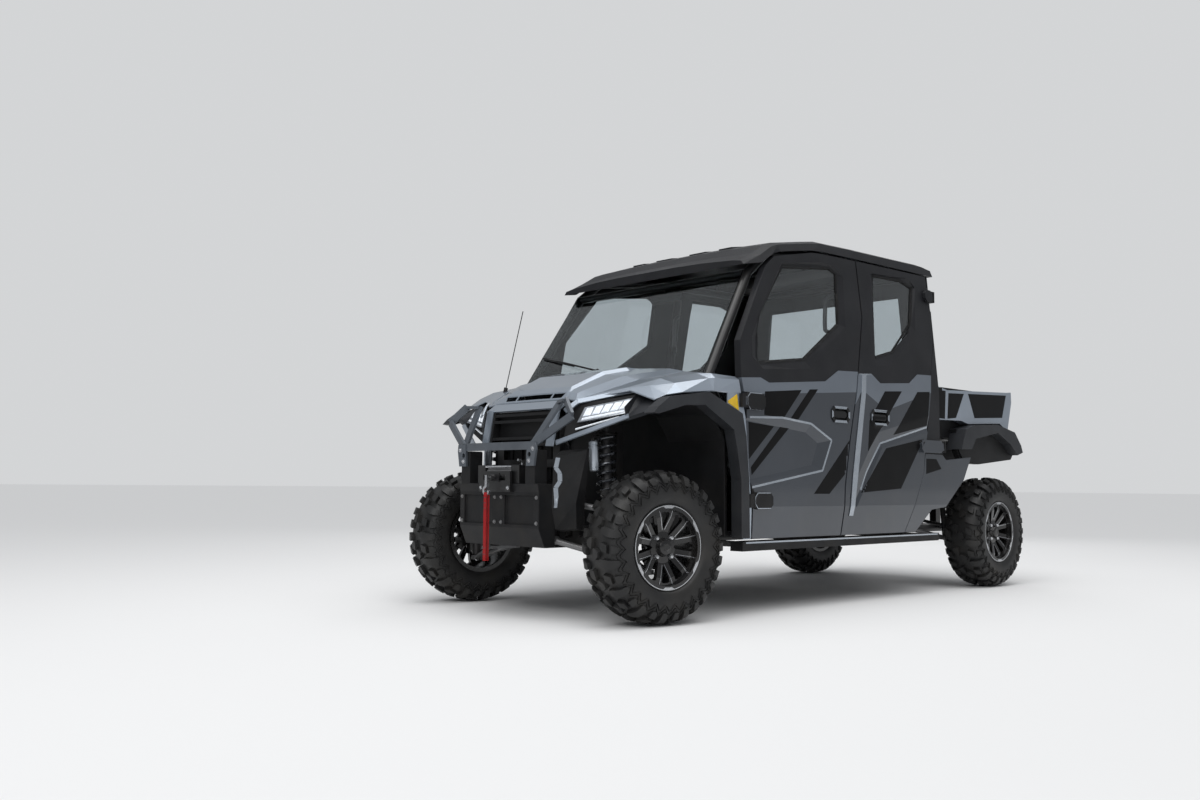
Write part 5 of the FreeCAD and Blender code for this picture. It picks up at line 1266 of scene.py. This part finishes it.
def make_bed_details():
    ribs, loops = bmesh.new(), bmesh.new()
    for k in range(RIB_COUNT):
        y = (k - (RIB_COUNT - 1) / 2) * RIB_STEP
        rings = []
        for x0, x1, half, z in ((-1930, -1000, 16, RIB_FOOT_Z), (-1924, -1006, 11, RIB_TOP_Z)):
            corners = ((x0, -half), (x1, -half), (x1, half), (x0, half))
            rings.append(in_metres((x, y + off, z) for x, off in corners))
        add_prism(ribs, *rings)
    for x, y in LOOP_PLACES:
        inward = -1 if y > 0 else 1
        bends = ((-22, -6, 1130), (-22, 18, 1126), (0, 24, 1122), (22, 18, 1126), (22, -6, 1130))
        line = in_metres((x + along, y + off * inward, z) for along, off, z in bends)
        add_tube(loops, smooth_line(line, 5), 0.005, 8)
    link_mesh("bed_floor_ribs", ribs, "moulded_black", "cargo_bed")
    link_mesh("bed_tie_loops", loops, "arm_grey", "cargo_bed")


make_bed_details()


# Studio: floor, world and lamps
FLOOR_SIZE, FLOOR_COLOUR = 400, (0.80, 0.80, 0.80, 1)
WORLD_COLOUR, WORLD_STRENGTH, BACKDROP_COLOUR = (0.93, 0.96, 1.0, 1), 0.32, (0.655, 0.665, 0.675, 1)
# name, place, aim, width, length, power
LAMPS = (
    ("softbox_above", (0.2, 0.4, 5.2), (0, 0, 0.8), 6.0, 3.2, 105),
    ("key_front_left", (6.6, 2.4, 4.2), (0.8, 0, 0.9), 3.4, 2.2, 75),
    ("side_fill", (4.2, 7.0, 3.2), (0.4, 0, 0.9), 3.0, 2.0, 35),
    ("rear_rim", (-6.0, -4.5, 3.8), (-0.8, 0, 1.2), 4.0, 2.5, 70),
)
EVEN_LIGHT, EVEN_SPREAD, EVEN_FROM = 1.55, 66, (2.0, 2.2, 6.0)


def make_floor():
    bpy.ops.mesh.primitive_plane_add(size=FLOOR_SIZE)
    floor = bpy.context.object
    floor.name = "studio_floor"
    material, _, shader = new_material("studio_floor")
    set_inputs(shader, {"Base Color": FLOOR_COLOUR, "Roughness": 1.0, "Specular IOR Level": 0.0})
    floor.data.materials.append(material)
    return floor


def make_world():
    """A soft sky; the camera, also through glass, sees a plain backdrop instead."""
    world = bpy.data.worlds.new("studio_world")
    bpy.context.scene.world = world
    world.use_nodes = True
    tree = world.node_tree
    light = tree.nodes["Background"]
    set_inputs(light, {"Color": WORLD_COLOUR, "Strength": WORLD_STRENGTH})
    backdrop = tree.nodes.new("ShaderNodeBackground")
    set_inputs(backdrop, {"Color": BACKDROP_COLOUR, "Strength": 1.0})
    path = tree.nodes.new("ShaderNodeLightPath").outputs
    seen = math_node(tree, "MAXIMUM", path["Is Camera Ray"], path["Is Transmission Ray"])
    choice = tree.nodes.new("ShaderNodeMixShader")
    for socket, output in enumerate((seen, light.outputs[0], backdrop.outputs[0])):
        tree.links.new(output, choice.inputs[socket])
    tree.links.new(choice.outputs[0], tree.nodes["World Output"].inputs["Surface"])


def add_lamp(data, way, axis):
    """A lamp that points along a way and doesn't show through glass."""
    lamp = bpy.data.objects.new(data.name, data)
    bpy.context.scene.collection.objects.link(lamp)
    lamp.rotation_euler = way.to_track_quat(axis, "Y").to_euler()
    lamp.visible_transmission = False
    return lamp


def make_stage():
    bpy.context.scene.view_settings.view_transform = "Standard"
    staged = [make_floor()]
    make_world()
    for name, place, aim, width, length, power in LAMPS:
        data = bpy.data.lights.new(name, "AREA")
        data.shape = "RECTANGLE"
        data.size, data.size_y, data.energy = width, length, power
        lamp = add_lamp(data, Vector(aim) - Vector(place), "-Z")
        lamp.location = place
        staged.append(lamp)
    # A wide, even light that keeps the floor as bright far away as it is near
    sky = bpy.data.lights.new("even_light", "SUN")
    sky.energy, sky.angle = EVEN_LIGHT, math.radians(EVEN_SPREAD)
    staged.append(add_lamp(sky, Vector(EVEN_FROM), "Z"))


make_stage()
